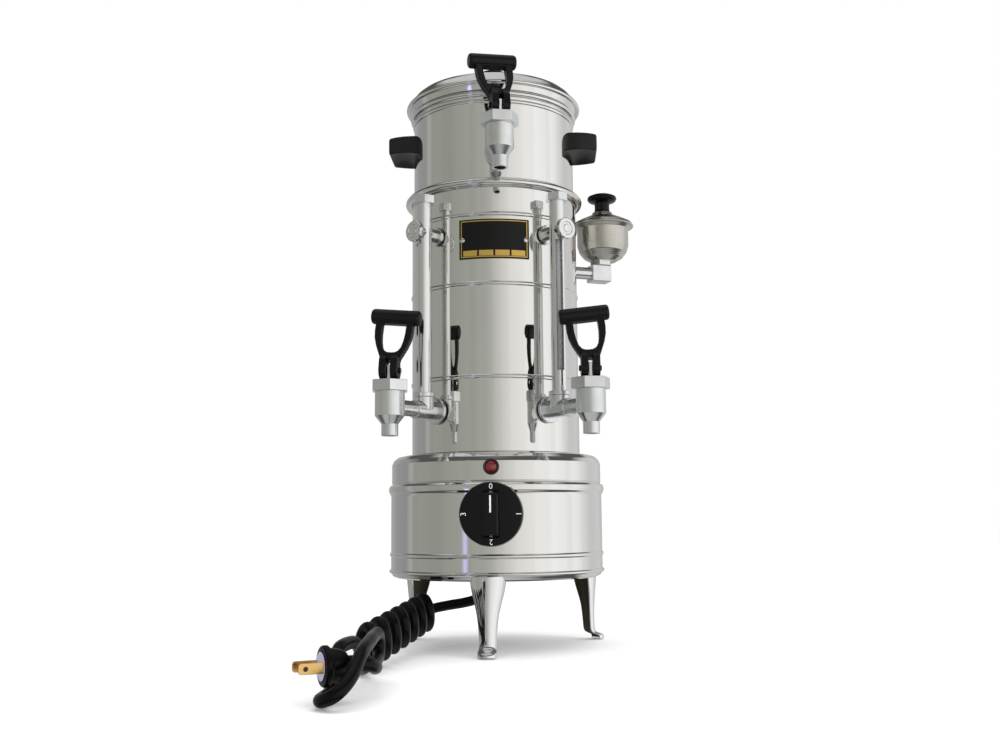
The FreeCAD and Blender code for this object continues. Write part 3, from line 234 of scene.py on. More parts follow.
def lamp(name, place, target, wide, tall, power):
    light = bpy.data.lights.new(name, "AREA")
    light.shape = "RECTANGLE"
    light.size, light.size_y = wide, tall
    light.energy = power
    holder = bpy.data.objects.new(name, light)
    facing = (Vector(target) - Vector(place)).to_track_quat("-Z", "Y")
    holder.matrix_world = Matrix.Translation(Vector(place)) @ facing.to_matrix().to_4x4()
    holder.visible_camera = False
    holder.visible_glossy = False
    bpy.context.scene.collection.objects.link(holder)


lamp("overhead", (0.1, -0.3, 1.7), (0, 0, 0.2), 1.6, 1.6, 9.0)
lamp("window", (1.5, -1.0, 0.9), (0, 0, 0.25), 0.7, 1.1, 7.0)


MM = 0.001


def linked(name, shape, finish):
    """Millimetres become metres in the mesh, and the object itself stays at the origin."""
    mesh = bpy.data.meshes.new(name)
    bmesh.ops.scale(shape, vec=(MM, MM, MM), verts=shape.verts)
    shape.to_mesh(mesh)
    shape.free()
    made = bpy.data.objects.new(name, mesh)
    bpy.context.scene.collection.objects.link(made)
    mesh.materials.append(finish)
    return made


table_paint, coat = material("table_top")
table_paint = coated(table_paint, coat, base_color=(0.9, 0.9, 0.9, 1.0), roughness=0.9,
                     specular_ior_level=0.0, emission_color=(1.0, 1.0, 1.0, 1.0), emission_strength=0.1)
table_shape = bmesh.new()
TABLE_RADIUS, TABLE_DROP = 9000.0, 0.15
bmesh.ops.create_circle(table_shape, cap_ends=True, segments=64, radius=TABLE_RADIUS,
                        matrix=Matrix.Translation((0, 0, -TABLE_DROP)))
table_top = linked("table_top", table_shape, table_paint)
table_top.visible_glossy = False

# The mains lead: one round black rubber cord. It leaves its gland in the base,
# runs behind the front leg, is wound on itself in an upright hank that lies
# towards the viewer, hooks once round its own plug and ends in it.
CORD = 8.4
LEAD = [(-4.8, -5.2, 54.5), (-4.8, -5.2, 38.8), (-57.6, 18.6, 29.6), (-67.4, 11.5, 24.7)]
HANK_START = Vector((-58.4, -14.6, 29.5))
HANK_END = Vector((-84.9, -187.9, 17.4))
HANK_TURNS = 7 + 50 / 360
HANK_ACROSS = Vector((0.4415, -0.8973, 0)).normalized()
HANK_TALL, HANK_DEEP = 12.7, 12.5
HANK_PHASE = math.radians(250)
POINTS_A_TURN = 14
TAIL = [
    (-82.4, -216.5, 23.4), (-82.0, -233.0, 28.0), (-83.0, -262.0, 29.6), (-84.4, -280.5, 28.5),
    (-85.2, -287.5, 15.0), (-85.2, -295.5, 4.8), (-86.8, -312.0, 4.6), (-86.0, -326.0, 5.0),
    (-76.5, -333.0, 8.5), (-69.5, -325.0, 15.5), (-67.4, -313.5, 22.5), (-65.8, -301.0, 30.0),
    (-66.0, -270.0, 32.5), (-68.0, -240.0, 32.8), (-69.2, -213.0, 32.0), (-69.2, -213.0, 15.5),
    (-68.2, -238.0, 15.0), (-65.0, -262.0, 15.0), (-60.5, -280.0, 18.0),
]
PLUG_FACE = Vector((-88.8, -306.0, 21.6))
PLUG_WAY = Vector((-0.8804, -0.4688, 0)).normalized()
PLUG_LONG = 20.0
plug_tail = PLUG_FACE - PLUG_WAY * PLUG_LONG


def hank_point(turns):
    angle = math.tau * turns + HANK_PHASE
    centre = HANK_START.lerp(HANK_END, turns / HANK_TURNS)
    loose = 1.0 / math.cos(math.pi / POINTS_A_TURN)
    return (centre + HANK_ACROSS * (HANK_DEEP * loose * math.cos(angle))
            + Vector((0, 0, HANK_TALL * loose * math.sin(angle))))


hank_steps = round(HANK_TURNS * POINTS_A_TURN)
hank = [hank_point(HANK_TURNS * step / hank_steps) for step in range(hank_steps + 1)]
RUN_IN, RUN_OUT = 9.0, 18.4
before = (hank[0] - hank[1]).normalized() * RUN_IN
after = (hank[-1] - hank[-2]).normalized() * RUN_OUT
route = [Vector(point) for point in LEAD] + [hank[0] + before] + hank + [hank[-1] + after]
route += [Vector(point) for point in TAIL] + [plug_tail - PLUG_WAY * 8.0, plug_tail + PLUG_WAY * 1.0]
line = bpy.data.curves.new("mains_cord", "CURVE")
line.dimensions = "3D"
spline = line.splines.new("NURBS")
spline.points.add(len(route) - 1)
for point, place in zip(spline.points, route):
    point.co = (place.x / 1000, place.y / 1000, place.z / 1000, 1.0)
spline.order_u = 3
spline.use_endpoint_u = True
spline.resolution_u = 6
line.bevel_depth = CORD / 2000
line.bevel_resolution = 6
line.use_fill_caps = True

rubber, coat = material("cord_rubber")
grain = coat.noise(900.0, 3.0)
smear = coat.noise(45.0, 3.0)
dusty_black = coat.blend(smear, (0.001, 0.001, 0.0015, 1), (0.003, 0.003, 0.0035, 1))
rubber = coated(rubber, coat, base_color=dusty_black,
                specular_ior_level=0.14, roughness=smear.spread(0.3, 0.7, 0.26, 0.38),
                normal=coat.relief(grain, 0.00005, 0.35))
line.materials.append(rubber)
cord = bpy.data.objects.new("mains_cord", line)
bpy.context.scene.collection.objects.link(cord)
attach(cord, "urn")
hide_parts("cord_lead", "cord_hank", "cord_tail")

# Ways of shaping that the turned and moulded pieces share: a half section is
# spun on the lathe, a rolled rim is a bent tube, and sharp edges are eased.
def spun(outline, steps=128):
    shape = bmesh.new()
    points = [shape.verts.new((radius, 0, height)) for radius, height in outline]
    lines = [shape.edges.new(pair) for pair in zip(points, points[1:])]
    bmesh.ops.spin(shape, geom=points + lines, cent=(0, 0, 0), axis=(0, 0, 1), angle=math.tau,
                   steps=steps, use_merge=True)
    bmesh.ops.remove_doubles(shape, verts=shape.verts, dist=0.001)
    bmesh.ops.recalc_face_normals(shape, faces=shape.faces)
    return shape


def rolled(ring, height, tube, steps=128, sides=20):
    shape = bmesh.new()
    upended = Matrix.Translation((ring, 0, height)) @ Matrix.Rotation(math.pi / 2, 4, "X")
    section = bmesh.ops.create_circle(shape, cap_ends=False, segments=sides, radius=tube, matrix=upended)
    bmesh.ops.spin(shape, geom=section["verts"] + shape.edges[:], cent=(0, 0, 0), axis=(0, 0, 1),
                   angle=math.tau, steps=steps, use_merge=True)
    bmesh.ops.recalc_face_normals(shape, faces=shape.faces)
    return shape


def eased(shape, offset, sharper_than=25.0, segments=3):
    edges = [edge for edge in shape.edges if edge.is_manifold
             and edge.calc_face_angle() > math.radians(sharper_than)]
    bmesh.ops.bevel(shape, geom=edges, offset=offset, offset_type="OFFSET", segments=segments,
                    profile=0.5, affect="EDGES", material=-1, clamp_overlap=True)
    return shape


def moved(shape, x=0.0, y=0.0, z=0.0):
    bmesh.ops.translate(shape, vec=(x, y, z), verts=shape.verts)
    return shape


def turned(shape, degrees, axis="Z", about=(0, 0, 0)):
    turn = Matrix.Rotation(math.radians(degrees), 3, axis)
    bmesh.ops.rotate(shape, cent=about, matrix=turn, verts=shape.verts)
    return shape


def new_points(grown):
    return [item for item in grown["geom"] if isinstance(item, bmesh.types.BMVert)]


def thickened(shape, way):
    """Draws all the faces of a flat shape out along a vector."""
    grown = bmesh.ops.extrude_face_region(shape, geom=shape.faces[:])
    bmesh.ops.translate(shape, vec=way, verts=new_points(grown))
    bmesh.ops.recalc_face_normals(shape, faces=shape.faces)
    return shape


def together(*shapes):
    whole = shapes[0]
    for other in shapes[1:]:
        mesh = bpy.data.meshes.new("spare")
        other.to_mesh(mesh)
        other.free()
        whole.from_mesh(mesh)
        bpy.data.meshes.remove(mesh)
    return whole


def post(radius, low, high, ease=0.4, steps=48):
    return eased(spun([(0, low), (radius, low), (radius, high), (0, high)], steps), ease)


def slab(wide, deep, tall, ease=0.4):
    shape = bmesh.new()
    bmesh.ops.create_cube(shape, size=1.0)
    bmesh.ops.scale(shape, vec=(wide, deep, tall), verts=shape.verts)
    return eased(shape, ease)


def front_facing(shape):
    """Stands a turned shape's axis along -Y, out of the front of the urn."""
    return turned(shape, 90, "X")


def piece(name, shape, body, finish, nodes=(), sharp=32.0):
    made = linked(name, shape, finish)
    made.data.shade_smooth()
    made.data.set_sharp_from_angle(angle=math.radians(sharp))
    even = made.modifiers.new("even_shading", "WEIGHTED_NORMAL")
    even.keep_sharp = True
    even.weight = 80
    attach(made, body)
    if nodes:
        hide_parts(*nodes)
    return made


# The plug: a moulded black body with a rim, a pale insulating face, and two flat
# brass blades with an eye near the tip.
def at_plug(shape):
    turned(shape, math.degrees(math.atan2(PLUG_WAY.x, -PLUG_WAY.y)))
    return moved(shape, *PLUG_FACE)


PLUG_RIM = 12.0
PLUG_OUTLINE = [
    (0, 0.5), (8.6, 0.5), (9.4, 0.0), (PLUG_RIM - 0.8, 0.0), (PLUG_RIM, -1.0), (PLUG_RIM, -3.6),
    (PLUG_RIM - 1.6, -4.6), (10.4, -6.0), (9.9, -9.0), (9.0, -12.6), (7.4, -14.6), (5.6, -15.6),
    (5.4, -PLUG_LONG), (0, -PLUG_LONG),
]
plug_shape = spun(PLUG_OUTLINE, 64)
plug_shape = eased(plug_shape, 0.5)
piece("plug_moulding", at_plug(front_facing(plug_shape)), "urn", rubber, ["plug_body"])

pale, coat = material("plug_face_card")
speck = coat.noise(260.0, 4.0)
pale = coated(pale, coat, base_color=coat.blend(speck, (0.34, 0.30, 0.52, 1), (0.66, 0.62, 0.80, 1)),
              roughness=0.55, normal=coat.relief(speck, 0.00006, 0.4))
card = eased(spun([(0, 0.2), (8.3, 0.2), (8.3, 0.75), (0, 0.75)], 64), 0.15)
piece("plug_face_card", at_plug(front_facing(card)), "urn", pale, ())

brass, coat = material("blade_brass")
wear = coat.noise(220.0, 5.0, (1, 1, 4))
brass = coated(brass, coat, base_color=coat.blend(wear, (0.72, 0.40, 0.12, 1), (0.93, 0.68, 0.30, 1)),
               metallic=1.0, roughness=wear.spread(0.3, 0.7, 0.16, 0.34),
               normal=coat.relief(wear, 0.00004, 0.3))
BLADE_WIDE, BLADE_LONG, BLADE_THICK = 6.35, 17.5, 1.5
BLADE_MIDDLE, EYE_REACH = -6.75, 11.3
BLADE_APART = 6.35  # from the plug's axis to the middle of each blade
blade_shapes = []
for side in (-1, 1):
    tongue = bmesh.new()
    bmesh.ops.create_grid(tongue, x_segments=1, y_segments=1, size=0.5)
    bmesh.ops.scale(tongue, vec=(BLADE_WIDE, BLADE_LONG, 1), verts=tongue.verts)
    bmesh.ops.translate(tongue, vec=(0, BLADE_MIDDLE, 0), verts=tongue.verts)
    tips = [vert for vert in tongue.verts if vert.co.y < -10]
    bmesh.ops.bevel(tongue, geom=tips, offset=1.8, offset_type="OFFSET", segments=4, profile=0.5,
                    affect="VERTICES", material=-1)
    eased(thickened(tongue, (0, 0, BLADE_THICK)), 0.18, 40.0, 2)
    blade_shapes.append(moved(tongue, 0, 0, side * BLADE_APART - BLADE_THICK / 2))
blades = at_plug(turned(together(*blade_shapes), 90, "Y"))
piece("plug_blades_cut", blades, "urn", brass, ["plug_blades"])

# The eyes are not cut through the blades: a dark brown disc fills each one as painted shade for the hole.
eye_painted_shade, coat = material("blade_eye")
eye_painted_shade = coated(eye_painted_shade, coat, base_color=(0.05, 0.02, 0.01, 1), roughness=0.6)
eyes = together(*[moved(post(1.5, -0.8, 0.8, 0.1, 24), 0, -EYE_REACH, side * BLADE_APART)
                  for side in (-1, 1)])
piece("blade_eyes", at_plug(turned(eyes, 90, "Y")), "urn", eye_painted_shade, ())

# Finishes of the steel: thin sheet that was spun and then buffed round and
# round to a mirror, so it is very slightly wavy and carries hair-fine rings.
def shaded(tone, share):
    return tuple(part * share for part in tone[:3]) + (1,)


def polished_steel(name, tone=(0.80, 0.795, 0.775, 1), rough=0.025, wave=0.00035):
    made, coat = material(name)
    ripple = coat.noise(16.0, 2.0, (1.0, 1.0, 0.35))
    rings = coat.noise(60.0, 3.0, (0.2, 0.2, 26.0))
    smudge = coat.noise(26.0, 5.0, (1.0, 1.0, 0.6))
    return coated(made, coat, base_color=coat.blend(smudge, tone, shaded(tone, 0.94)), metallic=1.0,
                  roughness=smudge.spread(0.35, 0.7, rough, rough + 0.05) + rings * 0.02,
                  normal=coat.relief(ripple + rings * 0.012, wave, 0.5))


def satin_metal(name, tone=(0.70, 0.70, 0.69, 1), rough=0.26, speckle=420.0):
    made, coat = material(name)
    grain = coat.noise(speckle, 5.0)
    cloud = coat.noise(70.0, 4.0)
    return coated(made, coat, base_color=coat.blend(cloud, tone, shaded(tone, 0.86)), metallic=1.0,
                  roughness=cloud.spread(0.3, 0.7, rough, rough + 0.12),
                  normal=coat.relief(grain, 0.00003, 0.35))


# The base: a drawn steel drum with three rolled beads, a stepped-in band for the
# pilot lamp and a rounded shoulder that carries the tank.
sheet_steel = polished_steel("base_sheet")
DRUM_OUTLINE = [  # radius and height, up the outside and back down the inside
    (76, 58), (76, 57), (84.7, 57), (88.2, 58.4), (89.8, 61.5), (89.8, 124.6), (90.3, 126.2),
    (91.3, 127.8), (91.9, 130.0), (91.5, 132.4), (90.3, 133.9), (88.7, 134.4), (88.7, 135.2),
    (89.2, 135.6), (89.2, 151), (87.7, 154.6), (84.4, 157.4), (80, 158.4), (68, 159.2), (68, 158.2),
    (79.6, 157.4), (83.6, 156.2), (86.6, 153.8), (88.2, 150.6), (87.9, 135.4), (87.9, 133.6),
    (89.8, 132.6), (90.8, 130.0), (89.3, 126.8), (88.8, 124.8), (88.8, 62.0), (87.6, 59.4),
    (84.6, 58), (76, 58),
]
drum = spun(DRUM_OUTLINE, 192)
drum = eased(drum, 0.5, 12.0)
drum = together(drum, rolled(88.5, 76.3, 2.3, 192), rolled(89.6, 62.5, 1.7, 192))
piece("base_drum", drum, "urn", sheet_steel, ["base_shell"])

# Legs: three pressed half-round legs, chromed outside and dull brown in the hollow,
# which is painted dark as the shade inside it; each is flared forwards into a small toe.
LEG_STEPS = [  # height, half width, and how far out the crown of the section stands
    (62.0, 14.9, 95.6), (57.0, 14.4, 95.2), (52.0, 13.6, 95.0), (46.0, 12.3, 94.6),
    (40.0, 10.7, 94.2), (34.0, 9.2, 93.9), (28.0, 8.1, 93.7), (20.0, 7.4, 93.5),
    (12.0, 7.0, 93.6), (8.4, 6.9, 93.9), (6.6, 7.0, 95.2), (5.4, 7.2, 98.2),
    (4.7, 7.4, 101.0), (3.6, 7.5, 102.6), (1.6, 7.5, 103.0), (0.1, 7.4, 102.6),
]
SOLE_CENTRE, SOLE_SHARE, LEG_SHEET = 94.0, 0.82, 0.0014
leg_chrome, coat = material("leg_chrome")
dull = coat.noise(120.0, 5.0)
leg_chrome = coated(leg_chrome, coat, base_color=(0.80, 0.80, 0.80, 1), metallic=1.0,
                    roughness=dull.spread(0.4, 0.7, 0.05, 0.10),
                    normal=coat.relief(coat.noise(30.0, 2.0), 0.0004, 0.5))
# The hollow's dull brown is painted dark: it carries the shade that falls inside the channel as well as the
# finish there.
leg_hollow, coat = material("leg_hollow")
dull = coat.noise(160.0, 6.0)
dull_brown_and_shade = coat.blend(dull, (0.035, 0.028, 0.018, 1), (0.10, 0.085, 0.06, 1))
leg_hollow = coated(leg_hollow, coat, base_color=dull_brown_and_shade, metallic=0.6,
                    roughness=dull.spread(0.3, 0.7, 0.35, 0.6))
for label, azimuth in (("front_leg", -2.4), ("right_leg", 117.6), ("left_leg", -122.4)):
    leg = bmesh.new()
    height, radius, crown = LEG_STEPS[0]
    start = leg.verts.new((radius, radius - crown, height))
    bmesh.ops.spin(leg, geom=[start], cent=(0, radius - crown, 0), axis=(0, 0, -1), angle=math.pi, steps=24)
    bmesh.ops.remove_doubles(leg, verts=leg.verts, dist=0.001)
    edge_row = leg.edges[:]
    for next_height, next_radius, next_crown in LEG_STEPS[1:]:
        grown = bmesh.ops.extrude_edge_only(leg, edges=edge_row)
        row = new_points(grown)
        edge_row = [item for item in grown["geom"] if isinstance(item, bmesh.types.BMEdge)]
        grow = next_radius / radius
        bmesh.ops.translate(leg, vec=(0, crown - radius, 0), verts=row)
        bmesh.ops.scale(leg, vec=(grow, grow, 1), verts=row)
        bmesh.ops.translate(leg, vec=(0, next_radius - next_crown, next_height - height), verts=row)
        height, radius, crown = next_height, next_radius, next_crown
    toe = bmesh.ops.extrude_edge_only(leg, edges=edge_row)
    sole = new_points(toe)
    bmesh.ops.translate(leg, vec=(0, SOLE_CENTRE, 0), verts=sole)
    bmesh.ops.scale(leg, vec=(SOLE_SHARE, SOLE_SHARE, 1), verts=sole)
    bmesh.ops.translate(leg, vec=(0, -SOLE_CENTRE, 0), verts=sole)
    bmesh.ops.recalc_face_normals(leg, faces=leg.faces)
    if sum(face.normal.dot(Vector((0, -1, 0))) * face.calc_area() for face in leg.faces) < 0:
        bmesh.ops.reverse_faces(leg, faces=leg.faces)
    turned(leg, azimuth)
    made = piece(label + "_pressing", leg, "urn", leg_chrome, [label], 60.0)
    made.data.materials.append(leg_hollow)
    made.modifiers.clear()
    wall = made.modifiers.new("sheet", "SOLIDIFY")
    wall.thickness = LEG_SHEET
    wall.offset = -1.0
    wall.material_offset = 1
    wall.material_offset_rim = 0
    wall.use_even_offset = True
    smooth = made.modifiers.new("smooth", "SUBSURF")
    smooth.levels = smooth.render_levels = 1

# The heat control: a moulded black knob with a dished skirt, an upright grip bar
# and white pad-printed marks, on the shaft of the switch behind the drum.
def black_moulding(name, dark, pale, shine, rough, peel, haze, relief):
    """Moulded plastic: deep black under a faint haze, with a fine orange peel."""
    made, coat = material(name)
    peel = coat.noise(*peel)
    haze = coat.noise(haze, 4.0)
    return coated(made, coat, base_color=coat.blend(haze, dark + (1,), pale + (1,)),
                  specular_ior_level=shine, roughness=haze.spread(0.3, 0.7, *rough),
                  normal=coat.relief(peel, *relief))


bakelite = black_moulding("knob_plastic", (0.0015, 0.0015, 0.002), (0.004, 0.004, 0.0045), 0.22,
                          rough=(0.14, 0.24), peel=(500.0, 3.0), haze=60.0, relief=(0.00004, 0.3))
DIAL_HEIGHT, DIAL_BACK = 109.2, 92.5
GRIP_WIDE, GRIP_LONG, GRIP_TALL, GRIP_FOOT = 13.6, 38.0, 14.5, 3.6
FIGURE_REACH, FIGURE_FACE = 21.2, 5.86
skirt = spun([(0, 0.0), (25.0, 0.0), (25.2, 0.8), (24.4, 5.0), (23.6, 5.6), (14.0, 6.0), (0, 6.1)], 96)
skirt = eased(skirt, 0.35, 18.0)
grip = bmesh.new()
bmesh.ops.create_cube(grip, size=1.0)
bmesh.ops.scale(grip, vec=(GRIP_WIDE, GRIP_LONG, GRIP_TALL), verts=grip.verts)
bmesh.ops.translate(grip, vec=(0, 0, GRIP_FOOT + GRIP_TALL / 2), verts=grip.verts)
crest = [vert for vert in grip.verts if vert.co.z > 10]
bmesh.ops.scale(grip, vec=(0.88, 0.82, 1), verts=crest)
grip = eased(grip, 1.6, 25.0, 4)
knob = moved(front_facing(together(skirt, grip)), 0, -DIAL_BACK, DIAL_HEIGHT)
piece("heat_knob", knob, "dial", bakelite, ["control_knob"])

paint, coat = material("knob_marks")
chips = coat.noise(700.0, 4.0)
chipped_white = coat.blend(chips, (0.92, 0.92, 0.90, 1), (0.72, 0.72, 0.70, 1))
paint = coated(paint, coat, base_color=chipped_white, roughness=0.5)
marks = [moved(slab(1.3, 0.5, 13.0, 0.12), 0, -DIAL_BACK - 18.0, DIAL_HEIGHT + 7.6)]
for quarter, digit in enumerate("0123"):
    words = bpy.data.curves.new("digit", "FONT")
    words.body = digit
    words.size = 6.0
    words.extrude = 0.12
    words.align_x = "CENTER"
    words.align_y = "CENTER"
    holder = bpy.data.objects.new("digit", words)
    figure = bmesh.new()
    figure.from_mesh(bpy.data.meshes.new_from_object(holder))
    bpy.data.objects.remove(holder)
    moved(figure, 0, FIGURE_REACH, FIGURE_FACE)
    turned(figure, -90.0 * quarter)
    marks.append(moved(front_facing(figure), 0, -DIAL_BACK, DIAL_HEIGHT))
piece("knob_marks", together(*marks), "dial", paint, (), 20.0)

# The pilot lamp: a red prismatic lens in a black bezel, pushed into the band.
lamp_black, coat = material("lamp_bezel")
lamp_black = coated(lamp_black, coat, base_color=(0.008, 0.008, 0.008, 1), roughness=0.22,
                    normal=coat.relief(coat.noise(400.0, 3.0), 0.00003, 0.3))
BAND_FRONT, LAMP_HEIGHT = 89.2, 146.0
bezel = spun([(4.5, 4), (4.5, -1.0), (5.0, -1.6), (5.9, -1.8), (6.4, -0.9), (6.4, 0.0), (4.5, 4)], 64)
bezel = front_facing(turned(eased(bezel, 0.25), 180, "X"))
piece("lamp_bezel", moved(bezel, 0, -BAND_FRONT - 0.2, LAMP_HEIGHT), "urn", lamp_black,
      ["pilot_bezel"])
red, coat = material("lamp_lens")
cell = coat.node("ShaderNodeTexVoronoi", {}, {"Vector": coat.place(), "Scale": 480.0}, "Distance")
# The lens's faint red emission is a painted glow: the lamp itself is not lit.
red = coated(red, coat, base_color=coat.blend(cell, (0.24, 0.004, 0.010, 1), (0.05, 0.0, 0.003, 1)),
             roughness=0.14, coat_weight=1.0, emission_color=(0.6, 0.01, 0.02, 1), emission_strength=0.03,
             normal=coat.relief(cell, 0.0006, 0.7))
lens = eased(spun([(0, 2.6), (2.2, 2.5), (3.8, 1.9), (4.8, 0.9), (4.9, 0), (0, 0)], 64), 0.2)
lens = moved(front_facing(lens), 0, -BAND_FRONT + 0.1, LAMP_HEIGHT)
piece("lamp_lens", lens, "urn", red, ["pilot_lens"])

# The tank: a tall buffed drum with a rolled lip and three pressed beads.
tank_steel = polished_steel("tank_sheet", rough=0.02, wave=0.0005)
TANK_RADIUS, TANK_BEADS = 72, (219.8, 296.3, 354.5)
tank = spun([(0, 161), (71.2, 161), (71.2, 159.3), (TANK_RADIUS, 159.3), (TANK_RADIUS, 381), (71.2, 381),
             (71.2, 162), (0, 162)], 192)
tank = together(eased(tank, 0.25), rolled(74.7, 380.6, 3.0, 192, 28),
                *[rolled(70.6, height, 2.3, 192) for height in TANK_BEADS])
piece("tank_drum", tank, "urn", tank_steel, ["tank_shell"])

# The nameplate, left without words: a thin black enamelled plate bent round the
# tank, with a gold rule, four gold boxes along its foot and two rivets.
PLATE_HALF, PLATE_LOW, PLATE_HIGH = 29.15, 316.7, 349.7
PLATE_BACK, PLATE_FRONT, PLATE_TURN = 72.05, 72.85, 2.5
BOX_FIRST, BOX_STEP, BOX_HALF, BOX_DROP, BOX_HALF_TALL = -20.1, 13.4, 5.9, 11.9, 2.3
plate_paint, coat = material("plate_enamel")
x, y, z = coat.axes(coat.place(turn=(0, 0, math.radians(-PLATE_TURN))))
across = coat.node("ShaderNodeMath", {"operation": "ARCTAN2"}, {0: x, 1: -y}) * 72.8
middle = (PLATE_LOW + PLATE_HIGH) / 2000
tall = (z - middle) * 1000.0
edge = (across.size() - PLATE_HALF).most(tall.size() - (PLATE_HIGH - PLATE_LOW) / 2)
gold = edge.between(-1.9, -1.15)
for box in range(4):
    place = BOX_FIRST + BOX_STEP * box
    rim = ((across - place).size() - BOX_HALF).most((tall + BOX_DROP).size() - BOX_HALF_TALL)
    gold = gold.most(rim.below(0.0))
grit = coat.noise(500.0, 4.0)
black_or_gold = coat.blend(gold, (0.003, 0.003, 0.003, 1), (0.62, 0.42, 0.10, 1))
plate_paint = coated(plate_paint, coat, base_color=black_or_gold, metallic=gold * 0.8,
                     specular_ior_level=0.25, roughness=grit.spread(0.3, 0.7, 0.28, 0.42),
                     normal=coat.relief(grit, 0.00002, 0.3))
plate = bmesh.new()
corners = [plate.verts.new((radius, 0, height)) for radius, height in
           ((PLATE_BACK, PLATE_LOW), (PLATE_FRONT, PLATE_LOW),
            (PLATE_FRONT, PLATE_HIGH), (PLATE_BACK, PLATE_HIGH))]
plate_face = plate.faces.new(corners)
span = math.degrees(2 * PLATE_HALF / 72.0)
bmesh.ops.spin(plate, geom=[plate_face] + plate.edges[:] + plate.verts[:], cent=(0, 0, 0),
               axis=(0, 0, 1), angle=math.radians(span), steps=40)
bmesh.ops.recalc_face_normals(plate, faces=plate.faces)
turned(plate, -90 - span / 2 + PLATE_TURN)
piece("blank_nameplate", plate, "urn", plate_paint, ["nameplate"])
RIVET_REACH, RIVET_HEIGHT, RIVET_APART = 72.8, 332.5, 26.5
satin = satin_metal("fittings_nickel", (0.80, 0.82, 0.82, 1), 0.15)
studs = []
for side in (-1, 1):
    stud = eased(spun([(0, 1.1), (1.2, 1.0), (2.1, 0.5), (2.3, 0), (0, 0)], 32), 0.1)
    stud = moved(front_facing(stud), 0, -RIVET_REACH, RIVET_HEIGHT)
    studs.append(turned(stud, PLATE_TURN + math.degrees(side * RIVET_APART / 72)))
piece("plate_rivets", together(*studs), "urn", satin, ["nameplate_rivets"])


# Taps: three alike, cast and plated. Each has a spout, a barrel, a hexagon bonnet
# that holds the spring and stem, and a shank screwed through the wall; the two
# lower shanks carry a boss for their sight gauge.
def polar(reach, azimuth):
    azimuth = math.radians(azimuth)
    return reach * math.sin(azimuth), -reach * math.cos(azimuth)


def along_back(shape):
    """Lays a turned shape's axis along +Y, from a tap back to the wall."""
    return turned(shape, -90, "X")


SHANK_HEIGHT = 23
BODY_OUTLINE = [  # radius and height: the spout, its cone and the barrel
    (0, 14), (4.7, 14), (4.7, 0.2), (5.0, 0), (6.4, 0), (6.65, 0.5), (6.6, 9.3), (11.7, 15.8),
    (11.7, 34.9), (0, 34.9),
]
BOSS_OUTLINE = [(0, 23), (8, 23), (8, 33.2), (8.9, 33.4), (8.9, 36.8), (0, 36.8)]


def at_shank(shape):
    return moved(along_back(shape), 0, 0, SHANK_HEIGHT)


def tap_casting(to_wall, boss=None):
    shapes = [eased(spun(BODY_OUTLINE, 72), 0.5, 20.0)]
    shapes.append(at_shank(post(6.3, 0, to_wall + 1, 0.3)))
    shapes.append(at_shank(post(11.0, to_wall - 4.2, to_wall - 1.2, 0.8, 64)))
    if boss:
        shapes.append(at_shank(post(7.4, boss - 12, to_wall + 0.5, 0.9, 64)))
        shapes.append(moved(eased(spun(BOSS_OUTLINE, 64), 0.4), 0, boss, 0))
    return together(*shapes)


def hexagon(across_corners, low, high, turn):
    shape = bmesh.new()
    bmesh.ops.create_circle(shape, cap_ends=True, segments=6, radius=across_corners)
    thickened(shape, (0, 0, high - low))
    for corner in range(6):
        angle = math.radians(60 * corner)
        tilt = Vector((math.sin(angle) * 0.5, math.cos(angle) * 0.5, 0.866))
        spot = Vector((math.sin(angle), math.cos(angle), 0)) * (across_corners * 0.955)
        spot.z = high - low
        sliced = bmesh.ops.bisect_plane(shape, geom=shape.verts[:] + shape.edges[:] + shape.faces[:],
                                        dist=0.0001, plane_co=spot, plane_no=tilt, clear_outer=True)
        rim = [item for item in sliced["geom_cut"] if isinstance(item, bmesh.types.BMEdge)]
        if rim:
            bmesh.ops.holes_fill(shape, edges=rim, sides=0)
    bmesh.ops.recalc_face_normals(shape, faces=shape.faces)
    eased(shape, 0.45, 12.0, 3)
    turned(shape, turn)
    return moved(shape, 0, 0, low)


BOW_OUTER = [(7.2, 8.0), (9.6, 13.0), (12.6, 19.5), (14.7, 26.0), (15.4, 32.0), (15.4, 40.0)]
BOW_INNER = [(2.6, 14.6), (5.6, 16.0), (7.7, 19.0), (9.0, 24.0), (9.7, 30.0), (9.8, 38.4)]
BOW_THICK, BOW_PIVOT = 6.8, (0, 0, 12)
BAR_OUTLINE, BAR_HEIGHT = [(0, -20), (5.0, -20), (6.2, -18.4), (6.2, 18.4), (5.0, 20), (0, 20)], 44.5
CHEEK_OUTLINE = [(0, -2.85), (7.3, -2.85), (7.3, 2.85), (0, 2.85)]
STUB_OUTLINE = [(0, -8.9), (1.9, -8.9), (2.3, -8.4), (2.3, 8.4), (1.9, 8.9), (0, 8.9)]


